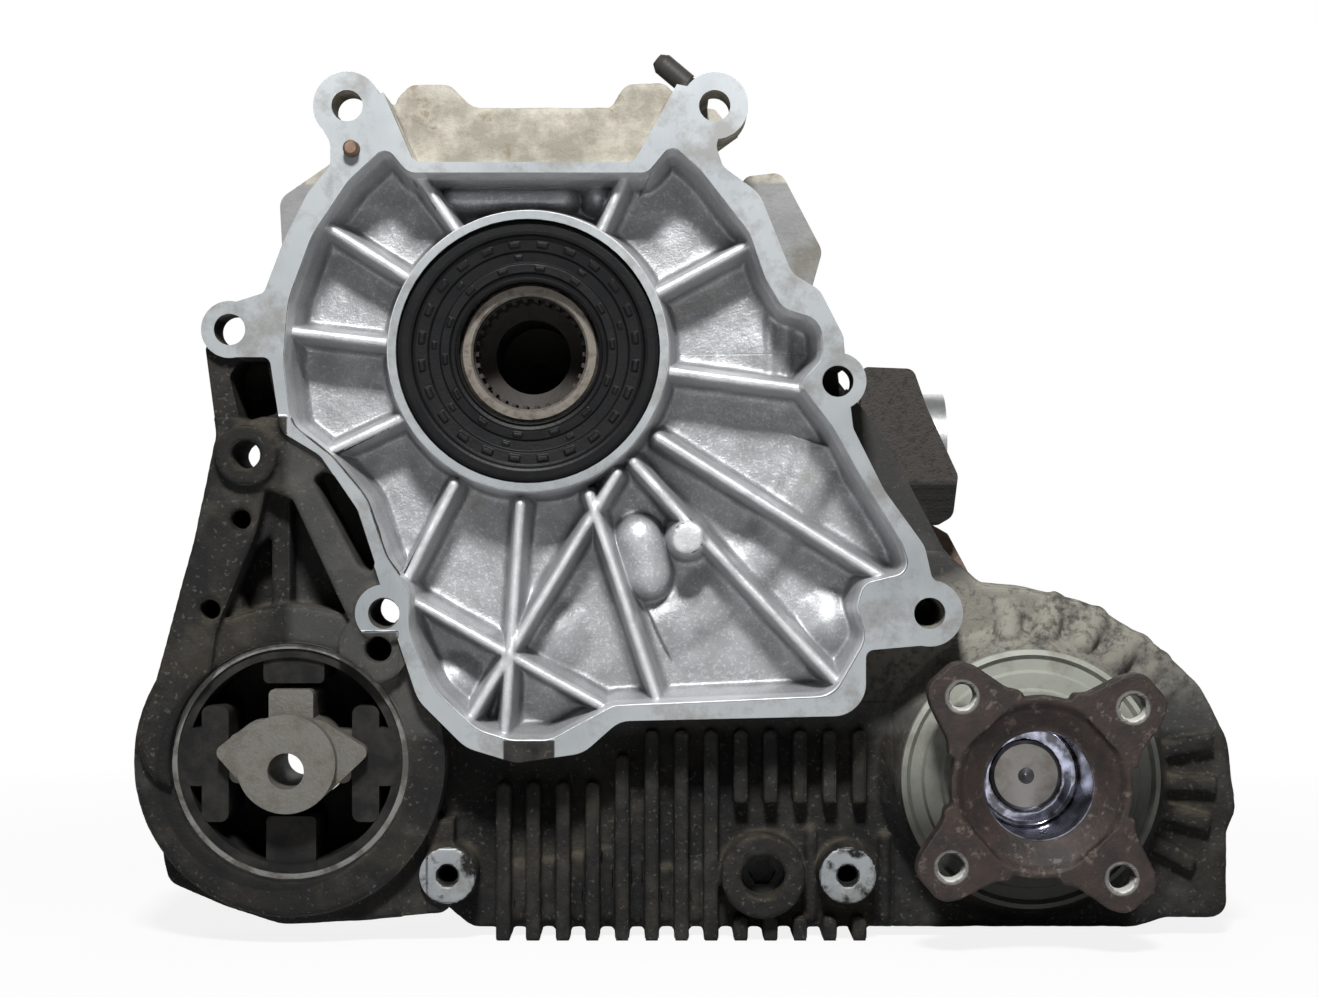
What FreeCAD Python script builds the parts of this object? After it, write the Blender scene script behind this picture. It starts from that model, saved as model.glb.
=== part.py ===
import FreeCAD, Part
import math
import os
from FreeCAD import Placement, Rotation, Vector

# Chain-driven all-wheel-drive transfer case.
# Frame: the input axis is the Y axis, +X is to the right as seen from the gearbox, +Z is up, and +Y runs
# back along the propeller shaft.  Sketch depths are counted from the gearbox face; every sub-part's placement
# then carries it forward, so that the origin is the centre of the input bore at its mouth.

doc = FreeCAD.newDocument("TransferCase")
sheet = doc.addObject("Spreadsheet::Sheet", "Sizes")

drivingSizes = {
    # the row's origin lies this far behind the gearbox face, just inside the mouth of the input bore
    "bore_mouth": 22,
    # bell flange and the recess behind it
    "bell_back": 44, "recess_floor": 36,
    "ear_thick": 20, "ear_hole": 5.6, "rib_top": 9.4, "rib_base": 5.2, "rib_draft": 3,
    "boss_face": 5, "boss_radius": 50.4, "boss_draft": 3, "flange_plate": 7.5,
    # split between the two case halves, and the walls of the lower case
    "split": 70, "sump_front": 30, "chamber_front": 46, "rear_flange": 80,
    # chain: three-eighths pitch, equal sprockets
    "pitch": 9.525, "teeth": 22, "run_links": 25, "chain_front": 49, "chain_width": 18,
    "line_angle": -40.4, "chamber_radius": 38.4,
    # input axis
    "seal_radius": 47.5, "seal_back": 20, "shaft_front": 18, "sleeve_radius": 25.3,
    "front_seat": 25, "input_bore": 20.6, "bearing_outer": 40, "bearing_front": 29, "bearing_back": 45,
    "shaft_mid": 20, "shaft_slim": 19, "rear_seat": 17.5, "flange_seat": 15, "thread": 10,
    "rear_bearing_front": 150, "rear_bearing_back": 166, "rear_bearing_outer": 36,
    "rear_seal_back": 177, "rear_nose": 180, "running_fit": 0.05, "seat_gap": 0.03,
    # clutch
    "basket_front": 71, "basket_back": 116, "basket_radius": 59, "basket_inner": 55.5,
    "hub_ring": 40, "stack_front": 80, "stack_step": 6.3, "disc_thick": 2.9, "disc_count": 4,
    "clutch_bore": 62, "plate_front": 106.5,
    # levers and cam
    "lever_front": 117, "lever_thick": 6, "ball_radius": 1, "ball_count": 3, "lever_bore": 50,
    "cam_x": 86, "cam_z": -8, "cam_low": 9, "cam_rise": 4, "cam_sweep": 90, "arm_width": 8,
    "worm_radius": 5, "worm_z": -31.5, "worm_y": 109, "wheel_radius": 18, "wheel_teeth": 24,
    # front output
    "nose_front": 18, "nose_radius": 47, "flange_face": -18, "flange_thick": 9,
    "flange_hole_circle": 42.4, "flange_hole": 4.4, "arm_radius": 53.5, "hub_radius": 24,
    "cup_bore": 19, "shaft_end": 22, "stub_radius": 12.8, "output_bearing": 38,
    # mount ring at the lower left
    "mount_x": -86, "mount_z": -147.8, "mount_front": 8, "mount_back": 56, "mount_bore": 42.9,
    "mount_outer": 56, "core_radius": 17.7, "core_bore": 6.5,
    # fins
    "fin_pitch": 10.85, "fin_first": -9.8, "fin_count": 13, "fin_width": 4.4, "fin_front": 21,
    "fin_back": 66, "fin_low": -214.5,
}

for row, (alias, value) in enumerate(drivingSizes.items(), start=1):
    sheet.set("A%d" % row, alias)
    sheet.set("B%d" % row, str(value))
    sheet.setAlias("B%d" % row, alias)

# the output axis follows from the chain: a whole number of links between the two sprockets
derivedSizes = {
    "centre_distance": "=pitch * run_links",
    "output_x": "=centre_distance * cos(line_angle * 1deg)",
    "output_z": "=centre_distance * sin(line_angle * 1deg)",
    "pitch_radius": "=pitch / (2 * sin(180deg / teeth))",
}
for row, (alias, formula) in enumerate(derivedSizes.items(), start=len(drivingSizes) + 1):
    sheet.set("A%d" % row, alias)
    sheet.set("B%d" % row, formula)
    sheet.setAlias("B%d" % row, alias)
doc.recompute()


def size(alias):
    """A number from the sheet."""
    return float(sheet.get(alias))


inputAxis = (0.0, 0.0)
outputAxis = (size("output_x"), size("output_z"))
subParts = []


# ---------------------------------------------------------------- outlines

def turned(x, z, angle):
    """The point (x, z) turned about the origin by an angle in degrees."""
    a = math.radians(angle)
    return (x * math.cos(a) - z * math.sin(a), x * math.sin(a) + z * math.cos(a))


def corners(points):
    """Lines and arcs of a closed outline.  Each corner is (x, z) or (x, z, radius)."""
    spots = [(p[0], p[1], p[2] if len(p) > 2 else 0.0) for p in points]
    ends = []
    for i, (x, z, radius) in enumerate(spots):
        here = Vector(x, z, 0)
        before = Vector(spots[i - 1][0], spots[i - 1][1], 0) - here
        after = Vector(spots[(i + 1) % len(spots)][0], spots[(i + 1) % len(spots)][1], 0) - here
        half = before.getAngle(after) / 2
        if radius <= 0 or abs(half - math.pi / 2) < 0.01:
            ends.append((here, here, here))
            continue
        reach = min(radius / math.tan(half), 0.49 * before.Length, 0.49 * after.Length)
        first = here + before.normalize() * reach
        last = here + after.normalize() * reach
        bisector = (before + after).normalize()
        bulge = reach / math.cos(half) - reach * math.tan(half)
        ends.append((first, here + bisector * bulge, last))
    edges = []
    for i, (first, middle, last) in enumerate(ends):
        if (last - first).Length > 1e-6:
            edges.append(Part.Arc(first, middle, last))
        start = ends[(i + 1) % len(ends)][0]
        if (start - last).Length > 1e-6:
            edges.append(Part.LineSegment(last, start))
    return edges


def ring(x, z, radius):
    """A circle as a one-edge outline."""
    return [Part.Circle(Vector(x, z, 0), Vector(0, 0, 1), radius)]


def bar(start, end, width, overrun=0.0):
    """A straight bar between two points, as a closed outline."""
    a = Vector(start[0], start[1], 0)
    b = Vector(end[0], end[1], 0)
    along = (b - a).normalize()
    side = Vector(-along.y, along.x, 0) * (width / 2)
    a = a - along * overrun
    b = b + along * overrun
    return corners([(p.x, p.y) for p in (a + side, b + side, b - side, a - side)])


def spoke(centre, angle, inner, outer, width):
    """A bar that runs outwards from a centre at an angle."""
    first = turned(inner, 0, angle)
    last = turned(outer, 0, angle)
    return bar((first[0] + centre[0], first[1] + centre[1]), (last[0] + centre[0], last[1] + centre[1]), width)


def beltOutline(radius, first=inputAxis, second=outputAxis):
    """Two equal circles joined by their outer tangents."""
    a = Vector(first[0], first[1], 0)
    b = Vector(second[0], second[1], 0)
    along = (b - a).normalize()
    side = Vector(-along.y, along.x, 0) * radius
    return [
        Part.LineSegment(a + side, b + side),
        Part.Arc(b + side, b + along * radius, b - side),
        Part.LineSegment(b - side, a - side),
        Part.Arc(a - side, a - along * radius, a + side),
    ]


# ---------------------------------------------------------------- bodies

class SubPart:
    """One PartDesign body, with its sketches and features."""

    def __init__(self, name, place=None):
        self.body = doc.addObject("PartDesign::Body", name)
        self.body.Label = name
        self.name = name
        self.count = 0
        self.volume = 0.0
        if place == outputAxis:
            self.body.setExpression("Placement.Base.x", "Sizes.output_x")
            self.body.setExpression("Placement.Base.z", "Sizes.output_z")
        elif place:
            self.body.Placement = Placement(Vector(place[0], 0, place[1]), Rotation())
        self.body.setExpression("Placement.Base.y", "-Sizes.bore_mouth")
        self.planes = {plane.Role: plane for plane in self.body.Origin.OriginFeatures}
        subParts.append(self.body)

    def label(self, kind):
        self.count += 1
        return "%s_%s_%d" % (self.name, kind, self.count)

    def sketch(self, outlines, plane, offset=None):
        """A sketch of closed outlines on one of the body's own planes."""
        sketch = self.body.newObject("Sketcher::SketchObject", self.label("sketch"))
        sketch.AttachmentSupport = [(self.planes[plane], "")]
        sketch.MapMode = "FlatFace"
        for component, expression in (offset or {}).items():
            sketch.setExpression("AttachmentOffset.Base." + component, expression)
        for outline in outlines:
            sketch.addGeometry(outline)
        return sketch

    def feature(self, kind, sketch, grows, settings, bound):
        """A feature on a sketch, checked to have grown or cut the body."""
        made = self.body.newObject("PartDesign::" + kind, self.label(kind.lower()))
        made.Profile = sketch
        for key, value in settings.items():
            setattr(made, key, value)
        for key, expression in bound.items():
            made.setExpression(key, expression)
        made.Refine = False
        doc.recompute()
        change = made.Shape.Volume - self.volume
        self.volume = made.Shape.Volume
        if "Invalid" in made.State or "Error" in made.State or (change > 0) != grows or abs(change) < 0.01:
            raise RuntimeError("%s: %s changed the volume by %.3f" % (self.name, made.Label, change))
        return made

    def pad(self, outlines, front, back, draft=None, forward=False):
        """Material between two depths.  A forward pad is sketched at the back and narrows to the front."""
        face = back if forward else front
        sketch = self.sketch(outlines, "XZ_Plane", {"z": "-(%s)" % face})
        bound = {"Length": "(%s) - (%s)" % (back, front)}
        if draft:
            bound["TaperAngle"] = "-(%s)" % draft
        return self.feature("Pad", sketch, True, {"Reversed": not forward}, bound)

    def pocket(self, outlines, front, back, draft=None, fromRear=False):
        """A cut between two depths, sketched at its mouth."""
        face = back if fromRear else front
        sketch = self.sketch(outlines, "XZ_Plane", {"z": "-(%s)" % face})
        bound = {"Length": "(%s) - (%s)" % (back, front)}
        if draft:
            bound["TaperAngle"] = "-(%s)" % draft
        return self.feature("Pocket", sketch, False, {"Reversed": fromRear}, bound)

    def turn(self, profile, axis=None, cut=False):
        """A turned form about a line parallel to Y.  The profile's points are (radius, depth)."""
        offset = {}
        if axis == outputAxis:
            offset = {"x": "Sizes.output_x", "z": "Sizes.output_z"}
        elif axis:
            offset = {"x": str(axis[0]), "z": str(axis[1])}
        sketch = self.sketch([corners(profile)], "XY_Plane", offset)
        kind = "Groove" if cut else "Revolution"
        settings = {"ReferenceAxis": (sketch, ["V_Axis"]), "Angle": 360.0}
        return self.feature(kind, sketch, not cut, settings, {})


class Casting:
    """A cast housing: extruded and turned forms, joined and cut in the order in which they are given."""

    def __init__(self, name):
        self.name = name
        self.count = 0
        self.joined = None
        self.waiting = []
        self.mode = "join"

    def label(self, kind):
        self.count += 1
        return "%s_%s_%d" % (self.name, kind, self.count)

    def sketch(self, outlines, rotation, offsets):
        """A free sketch; its place is bound to the sheet along the given axes."""
        sketch = doc.addObject("Sketcher::SketchObject", self.label("sketch"))
        sketch.Placement = Placement(Vector(), rotation)
        for axis, expression in offsets.items():
            sketch.setExpression("Placement.Base." + axis, expression)
        for outline in outlines:
            sketch.addGeometry(outline)
        return sketch

    def extrusion(self, outlines, face, length, backwards, draft):
        made = doc.addObject("Part::Extrusion", self.label("extrusion"))
        made.Base = self.sketch(outlines, Rotation(Vector(1, 0, 0), 90), {"y": face})
        made.DirMode = "Normal"
        made.Reversed = backwards
        made.Solid = True
        made.setExpression("LengthFwd", length)
        if draft:
            made.setExpression("TaperAngle", "-(%s)" % draft)
        return made

    def pad(self, outlines, front, back, draft=None, forward=False):
        """Material between two depths.  A forward pad is sketched at the back and narrows to the front."""
        length = "(%s) - (%s)" % (back, front)
        self.collect("join", self.extrusion(outlines, back if forward else front, length, not forward, draft))

    def pocket(self, outlines, front, back, fromRear=False):
        """A cut between two depths."""
        length = "(%s) - (%s)" % (back, front)
        self.collect("cut", self.extrusion(outlines, back if fromRear else front, length, not fromRear, None))

    def turn(self, profile, axis=None, cut=False):
        """A turned form about a line parallel to Y.  The profile's points are (radius, depth)."""
        x, z = axis or inputAxis
        offsets = {"x": "Sizes.output_x", "z": "Sizes.output_z"} if axis == outputAxis else {}
        made = doc.addObject("Part::Revolution", self.label("revolution"))
        made.Source = self.sketch([corners(profile)], Rotation(), offsets)
        made.Axis = Vector(0, 1, 0)
        made.Base = Vector(x, 0, z)
        made.Angle = 360
        made.Solid = True
        self.collect("cut" if cut else "join", made)

    def crossBore(self, y, z, radius, start, length):
        """A bore along +X."""
        made = doc.addObject("Part::Cylinder", self.label("bore"))
        made.Radius = radius
        made.Height = length
        made.Placement = Placement(Vector(start, y, z), Rotation(Vector(0, 1, 0), 90))
        self.collect("cut", made)

    def collect(self, mode, form):
        if mode != self.mode:
            self.apply()
        self.mode = mode
        self.waiting.append(form)

    def apply(self):
        """Join or cut with the forms that are waiting, and check that the volume moved the right way."""
        if not self.waiting:
            return
        if not self.joined and len(self.waiting) == 1:
            doc.recompute()
            self.joined = self.waiting.pop()
            return
        before = self.joined.Shape.Volume if self.joined else 0.0
        if self.mode == "join":
            made = doc.addObject("Part::MultiFuse", self.label("joined"))
            made.Shapes = ([self.joined] if self.joined else []) + self.waiting
        else:
            tool = self.waiting[0]
            if len(self.waiting) > 1:
                tool = doc.addObject("Part::MultiFuse", self.label("cutters"))
                tool.Shapes = self.waiting
            made = doc.addObject("Part::Cut", self.label("cut"))
            made.Base = self.joined
            made.Tool = tool
        made.Refine = False
        doc.recompute()
        change = made.Shape.Volume - before
        if (change > 0) != (self.mode == "join"):
            raise RuntimeError("%s: %s changed the volume by %.3f" % (self.name, made.Label, change))
        self.joined = made
        self.waiting = []

    def divide(self, region):
        """Two sub-parts: what lies inside the region, under its name, and the rest."""
        inside = doc.addObject("Part::Common", region.label("common"))
        inside.Base, inside.Tool = self.joined, region.joined
        rest = doc.addObject("Part::Cut", self.label("cut"))
        rest.Base, rest.Tool = self.joined, region.joined
        doc.recompute()
        region.joined, self.joined = inside, rest
        region.finish()
        self.finish()

    def finish(self):
        self.apply()
        self.joined.Label = self.name
        self.joined.setExpression("Placement.Base.y", "-Sizes.bore_mouth")
        subParts.append(self.joined)


def tube(name, inner, outer, front, back, place=None, chamfer=0.0):
    """A turned ring between two radii, with its outer corners broken."""
    piece = SubPart(name, place)
    c = chamfer
    profile = [(inner, front), (outer - c, front), (outer, front + c), (outer, back - c),
               (outer - c, back), (inner, back)]
    piece.turn(profile if c else [(inner, front), (outer, front), (outer, back), (inner, back)])
    return piece


def solidPart(name, shape):
    """A sub-part whose shape is made with Part's own functions."""
    feature = doc.addObject("Part::Feature", name)
    feature.Label = name
    feature.Shape = shape
    feature.Placement = Placement(Vector(0, -size("bore_mouth"), 0), Rotation())
    subParts.append(feature)
    return feature


# ---------------------------------------------------------------- front case half

# gearbox face: bolt ears as (x, z, ear radius)
earPlaces = {
    "top_left": (-64.3, 87.3, 12.2), "top_right": (67.0, 87.3, 12.0), "left": (-106.3, 7.4, 10.2),
    "right": (111.0, -11.1, 10.2), "low_left": (-51.2, -94.0, 10.3), "low_right": (143.8, -94.0, 11.9),
}
bellOutline = [
    (-60, 90), (-51.3, 92), (-40.5, 67.2, 4), (38.2, 67.2, 4), (53.5, 95), (68, 92), (76.5, 82),
    (66.8, 75, 5), (70, 65.5, 6), (83, 56, 12), (94.5, 27.5, 8), (104.5, 21.5, 8), (113, 5, 6),
    (114, -8), (116.5, -28, 6), (127.5, -50, 20), (142, -70, 10), (144.5, -81, 3), (153, -89),
    (147, -105), (121, -107.3, 3), (121, -130.5, 14), (33, -132.5, 10), (20, -144, 12),
    (-4, -147.5, 8), (-22, -142, 14), (-39, -125, 14), (-46, -104), (-54, -79, 8), (-62, -55, 20),
    (-74, -37.5, 9), (-88, -29, 6), (-92, -2.5, 3), (-104, -2.5), (-104, 17.3), (-94, 20.5, 3),
    (-87, 39, 30), (-78.5, 56, 20), (-70.3, 66, 5), (-70.3, 74, 5), (-75.8, 84),
]
recessOutline = [
    (-50.5, 73, 4), (-64, 60.5, 12), (-77, 41, 25), (-85.5, 18, 30), (-87.3, -4, 20), (-84.5, -26.5, 8),
    (-70, -38, 20), (-57.5, -53, 20), (-50.5, -74, 15), (-42, -86, 9), (-42.5, -100, 20),
    (-34, -121, 30), (-18, -136, 15), (-6, -139.7, 12), (8, -139.7, 10), (31, -127.2, 8),
    (109.5, -124, 10), (121.5, -103, 10), (118, -92, 8), (120.5, -83.5, 6), (137.5, -79.5, 5),
    (134, -69, 8), (118, -43, 30), (109, -27, 20), (97.5, -12, 4), (105.8, -3, 7), (105, 11, 8),
    (91.5, 14.8, 8), (85, 26, 12), (79.5, 42, 14), (62, 64.5, 20), (51.5, 73.8, 4), (43, 63.4, 5),
    (-42.5, 63.4, 6),
]
# stiffening ribs of the recess, from the seal boss to the wall; those that cross are padded in turn
ribSets = [
    [((-32, 51), (-40, 64)), ((-46, 28), (-74, 46)), ((-53, 3.3), (-88, 7.7)), ((-46, -24), (-73, -37)),
     ((-27, -48), (-46, -84)), ((-3, -55), (-8.8, -141)), ((22, -52), (47, -127)),
     ((38, -40), (113, -121)), ((47, -31), (127, -81)), ((52, -7), (100, -13.5)),
     ((47, 21.5), (81, 39.5)), ((26, 43), (36, 66))],
    [((32, -44), (-22, -134))],
    [((-44, -88.5), (31, -130.5))],
]
lowerOutline = [
    (-60, -20), (-47, -110, 10), (-36, -140, 12), (-36, -198, 8), (-22, -210.5, 8), (222, -210.5, 8),
    (234, -207, 4), (256, -207, 5.5), (256, -176, 3), (259.5, -167, 5), (256, -141, 14), (246, -122, 16),
    (230, -107, 16), (206, -92, 30), (183, -86.5, 20), (166, -85, 10), (153, -73.5, 10),
    (130, -30), (60, 60), (-20, 60),
]
casePlateau = [(-48, 60), (-48, 92, 4), (-43, 97, 4), (-29, 97, 5), (-21, 88.6, 6), (30, 88.6, 3),
               (35, 97, 5), (51, 98, 5), (56, 60)]
threadedBosses = {"upper_arm": (-103, -60.6), "lower_arm": (-114, -93), "sump_left": (-29.5, -189.5),
                  "sump_right": (115.5, -189.5)}
drainPlace = (85.0, -190.5)
fillerPlace = (20.0, -143.0)
caseBoltPlaces = [turned(98, 0, angle) for angle in (118, 62, 28)] + [
    (-75, -61), (-44, -124), (-40, -190), (27, -202), (71, -202), (140, -202), (222, -200),
    (248, -160), (226, -112), (185, -98), (140, -60)]


def finOutlines():
    """Cooling fins: their tops follow a ledge, and those over the drain boss stop short of it."""
    half, low = size("fin_width") / 2, size("fin_low")
    outlines = []
    for k in range(int(size("fin_count"))):
        x = size("fin_first") + k * size("fin_pitch")
        top = -157 if x < 28 else (-147 if x < 40 else -138)
        overDrain = x > 70
        spans = [(top, -164), (-206, low)] if overDrain else [(top, low)]
        for high, foot in spans:
            outlines.append(corners([(x - half, high, 2), (x + half, high, 2), (x + half, foot), (x - half, foot)]))
    return outlines


def frontHousing():
    part = Casting("front_housing")
    part.pad([corners(bellOutline)], "0", "Sizes.bell_back")
    part.pad([ring(x, z, radius) for x, z, radius in earPlaces.values()], "0", "Sizes.ear_thick")
    part.pad([corners(lowerOutline)], "Sizes.sump_front", "Sizes.split")
    part.pad([ring(0, 0, 92)], "Sizes.bell_back - 6", "Sizes.split")
    part.pad([corners(casePlateau)], "16", "Sizes.split")
    # bell recess, drafted, with the seal boss and the ribs left standing in it
    part.pocket([corners(recessOutline)], "0", "Sizes.recess_floor")
    boss = [ring(0, 0, size("boss_radius") + 1.6)]
    part.pad(boss, "Sizes.boss_face", "Sizes.recess_floor + 1", draft="Sizes.boss_draft", forward=True)
    for ribs in ribSets:
        bars = [bar(start, end, size("rib_base")) for start, end in ribs]
        part.pad(bars, "Sizes.rib_top", "Sizes.recess_floor + 1", draft="Sizes.rib_draft", forward=True)
    part.pad([ring(57.5, -67.2, 5.6)], "7", "Sizes.recess_floor + 1")
    part.pad([beltOutline(7, (40, -68), (43, -81))], "22", "Sizes.recess_floor + 1")
    # left bracket: arms, web and the ring for the mount
    part.pad([corners([(-88, -2), (-116, 4, 3), (-111.5, -30, 6), (-119, -66), (-141.5, -150, 20),
                       (-120, -160), (-112, -100, 10), (-98, -66, 8), (-90, -30)])], "4", "40")
    part.pad([ring(-100.5, -37.5, 10.8)], "0", "40")
    part.pad([corners([(-96, -26), (-110, -34), (-103, -46, 4), (-84, -53), (-64, -96), (-50, -96),
                       (-54, -74, 10), (-68, -44, 16), (-84, -28, 4)])], "3", "40")
    part.pad([corners([(-110, -30), (-50, -80), (-50, -150), (-125, -150)])], "30", "40")
    part.pad([corners([(-93, -50), (-87, -50), (-87, -105), (-93, -105)])], "14", "40")
    part.pad([ring(size("mount_x"), size("mount_z"), size("mount_outer"))], "Sizes.mount_front",
             "Sizes.mount_back")
    part.pad([ring(-55, -106.5, 12.5)], "2", "40")
    part.pad([corners([(-134, -175), (-131, -192, 6), (-110, -201, 8), (-90, -207.5, 20), (-60, -206, 20),
                       (-28, -203, 6), (-28, -170)])], "16", "50")
    # lower case: screw bosses and drain boss
    part.pad([ring(x, z, 10.2) for x, z in threadedBosses.values()], "13", "42")
    part.pad([ring(drainPlace[0], drainPlace[1], 14.8)], "15", "40")
    # output nose
    nose = [(0, 44), (0, size("nose_front")), (size("nose_radius"), size("nose_front")), (56, 34), (56, 44)]
    part.turn(nose, axis=outputAxis)
    # lugs for the bolts that hold the halves together
    part.pad([ring(x, z, 8.5) for x, z in caseBoltPlaces], "52", "Sizes.split")
    part.pad([corners([(-94, 20), (-96, 60, 6), (-70, 78, 6), (-40, 70), (-40, 20)])], "52", "Sizes.split")
    part.pad([corners([(60, 40), (80, 68, 4), (93, 69.5, 5), (108.5, 40, 6), (104, 24, 3), (80, 0)])],
             "48", "Sizes.split")
    # cooling fins under the case and finger fins round the output
    part.pad(finOutlines(), "Sizes.fin_front", "Sizes.fin_back")
    part.pad([spoke(outputAxis, angle, 50, 70, 5) for angle in (10, -3, -15, -28)], "25", "Sizes.chamber_front")
    part.pad([spoke(outputAxis, angle, 50, 63, 6) for angle in (52, 66, 81, 96)], "29", "Sizes.chamber_front")
    # boss that the vent pipe runs into
    part.pad([corners([(46, 60), (53, 90, 4), (60, 96, 6), (68, 88, 6), (70, 56)])], "56", "Sizes.split")
    # bores: seal and bearing on the input axis, nose on the output axis, chain chamber
    part.turn([(0, -1), (size("seal_radius"), -1), (size("seal_radius"), size("seal_back")), (42, 22),
               (size("bearing_outer"), 24), (size("bearing_outer"), 75), (0, 75)], cut=True)
    bore = size("output_bearing")
    part.turn([(0, 0), (bore, 0), (bore, 47), (0, 47)], axis=outputAxis, cut=True)
    part.pocket([beltOutline(size("chamber_radius"))], "Sizes.chamber_front", "Sizes.split", fromRear=True)
    part.pocket([ring(size("mount_x"), size("mount_z"), size("mount_bore"))], "0", "60")
    # bolt holes
    part.pocket([ring(x, z, size("ear_hole")) for x, z, radius in earPlaces.values()], "0", "41")
    part.pocket([ring(-100.5, -37.5, 5.4), ring(-53.5, -107, 5.1)], "0", "41")
    part.pocket([ring(x, z, 4) for x, z in threadedBosses.values()], "0", "34")
    part.pocket([ring(drainPlace[0], drainPlace[1], 8.3)], "0", "38")
    part.pocket([ring(-62.6, 71.8, 3.0)], "0", "12")
    part.pocket([ring(x, z, 4.1) for x, z in caseBoltPlaces], "54", "Sizes.split", fromRear=True)
    # window and slot of the left bracket
    part.pocket([corners([(-103.5, -3.5, 2), (-93.5, -3.5, 2), (-89.5, -22.5, 2), (-103, -26, 3),
                          (-107, -9, 3)])], "0", "34")
    part.pocket([corners([(-73.5, -42.5, 1), (-77.5, -46, 2), (-60.5, -78, 1), (-55.5, -80, 1),
                          (-54.3, -76, 2), (-60.5, -57, 6), (-69, -44.5, 2)])], "0", "28")
    part.apply()
    # the flange that meets the gearbox is a node of its own, so that its opening stays open in collision
    plate = Casting("gearbox_flange")
    plate.pad([corners([(-160, -220), (270, -220), (270, 110), (-160, 110)])], "-1", "Sizes.flange_plate")
    plate.pocket([corners(recessOutline)], "-1", "Sizes.flange_plate")
    plate.apply()
    part.divide(plate)


# ---------------------------------------------------------------- rear case half

def rearHousing():
    part = Casting("rear_housing")
    part.pad([corners(lowerOutline)], "Sizes.split", "Sizes.rear_flange")
    part.pad([ring(0, 0, 92)], "Sizes.split", "Sizes.rear_flange")
    part.pad([ring(x, z, 8.5) for x, z in caseBoltPlaces], "Sizes.split", "Sizes.rear_flange")
    # clutch bell, closed round the rear bearing
    part.turn([(0, 70), (74, 70), (74, 103), (71, 109), (62, 121), (60, 126), (59, 146), (56, 151),
               (46, 156), (46, size("rear_nose") - 2), (44, size("rear_nose")), (0, size("rear_nose"))])
    # housing of the cam, the worm and the motor seat
    part.pad([corners([(30, -46, 6), (112, -46, 6), (112, -8, 12), (100, 22, 12), (30, 24, 6)])],
             "Sizes.rear_flange - 4", "138")
    # bearing cap of the front output and the stiffeners between the two bells
    part.turn([(0, 70), (48, 70), (48, 84), (43, 90), (42, 94), (39, 96), (0, 96)], axis=outputAxis)
    part.pad([spoke(inputAxis, angle, 40, 72, 5) for angle in range(20, 360, 40)], "100", "134")
    part.pad([spoke(outputAxis, angle, 30, 47, 5) for angle in range(-130, 230, 45)],
             "Sizes.rear_flange", "91")
    part.pad([ring(fillerPlace[0], fillerPlace[1], 15)], "Sizes.rear_flange", "88")
    # rear wall of the sump with its keels, which the case stands on
    part.pad([corners([(-14, -160, 8), (120, -160, 8), (132, -193, 4), (-16, -193, 4)])],
             "Sizes.rear_flange - 1", "104")
    keels = [bar((x, size("fin_low")), (x, -176), 4.4) for x in range(-6, 130, 22)]
    part.pad(keels, "Sizes.split", "110")
    # cavities: clutch, levers, pump, rear bearing and seal
    part.turn([(0, 60), (size("clutch_bore"), 60), (size("clutch_bore"), 117), (size("lever_bore"), 119),
               (size("lever_bore"), 148), (size("rear_bearing_outer"), 149),
               (size("rear_bearing_outer"), 200), (0, 200)], cut=True)
    part.pocket([corners([(40, -39, 5), (106, -39, 5), (106, -7, 6), (96, 18, 6), (40, 18, 5)])],
                "Sizes.split", "134.5")
    part.turn([(0, 60), (32, 60), (32, 83), (18, 84), (18, 90), (0, 90)], axis=outputAxis, cut=True)
    part.pocket([ring(x, z, 4.3) for x, z in caseBoltPlaces], "Sizes.split", "Sizes.rear_flange")
    part.pocket([ring(fillerPlace[0], fillerPlace[1], 9)], "Sizes.rear_flange", "90")
    # worm bore through the right wall
    part.crossBore(size("worm_y"), size("worm_z"), 6.5, 100, 20)
    part.finish()


# ---------------------------------------------------------------- input axis

def mainShaft():
    part = SubPart("main_shaft")
    sleeve, seat, mid = size("sleeve_radius"), size("front_seat"), size("shaft_mid")
    slim, rear, flange, thread = size("shaft_slim"), size("rear_seat"), size("flange_seat"), size("thread")
    front, bore = size("shaft_front"), size("input_bore")
    pilot = front + 8
    mouth = SubPart("input_sleeve")
    mouth.turn([(bore, front + 0.8), (bore + 0.8, front), (sleeve - 1, front), (sleeve, front + 1),
                (sleeve, pilot), (bore, pilot)])
    part.turn([(bore - 0.3, pilot), (sleeve, pilot), (sleeve, 28.8), (seat, 28.8), (seat, 46), (mid, 46), (mid, 117), (slim, 117), (slim, 149.5),
               (rear, 149.5), (rear, 167), (flange, 167), (flange, 187), (thread, 187), (thread, 201),
               (0, 201), (0, 100), (14, 96), (14, 48), (bore - 0.3, 44)])
    # internal splines of the input bore, behind the plain pilot of its sleeve
    count = 30
    flutes = []
    for k in range(count):
        flutes.append(spoke(inputAxis, 360.0 / count * k, bore - 1.5, bore + 0.3, 1.6))
    part.pad(flutes, "Sizes.shaft_front + 8", "Sizes.shaft_front + 25")
    return part


def frontSeal(name, inner, outer, front, back, place=None):
    """A lip seal: metal case, raised outer lip, and a cone that runs in to the shaft lip."""
    part = SubPart(name, place)
    part.turn([(outer, front + 1), (outer - 1.5, front), (outer - 5.5, front), (outer - 6.5, front + 2.5),
               (inner + 6, front + 4), (inner + 1.2, front + 8), (inner, back - 2), (inner, back),
               (outer, back)])
    return part


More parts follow.
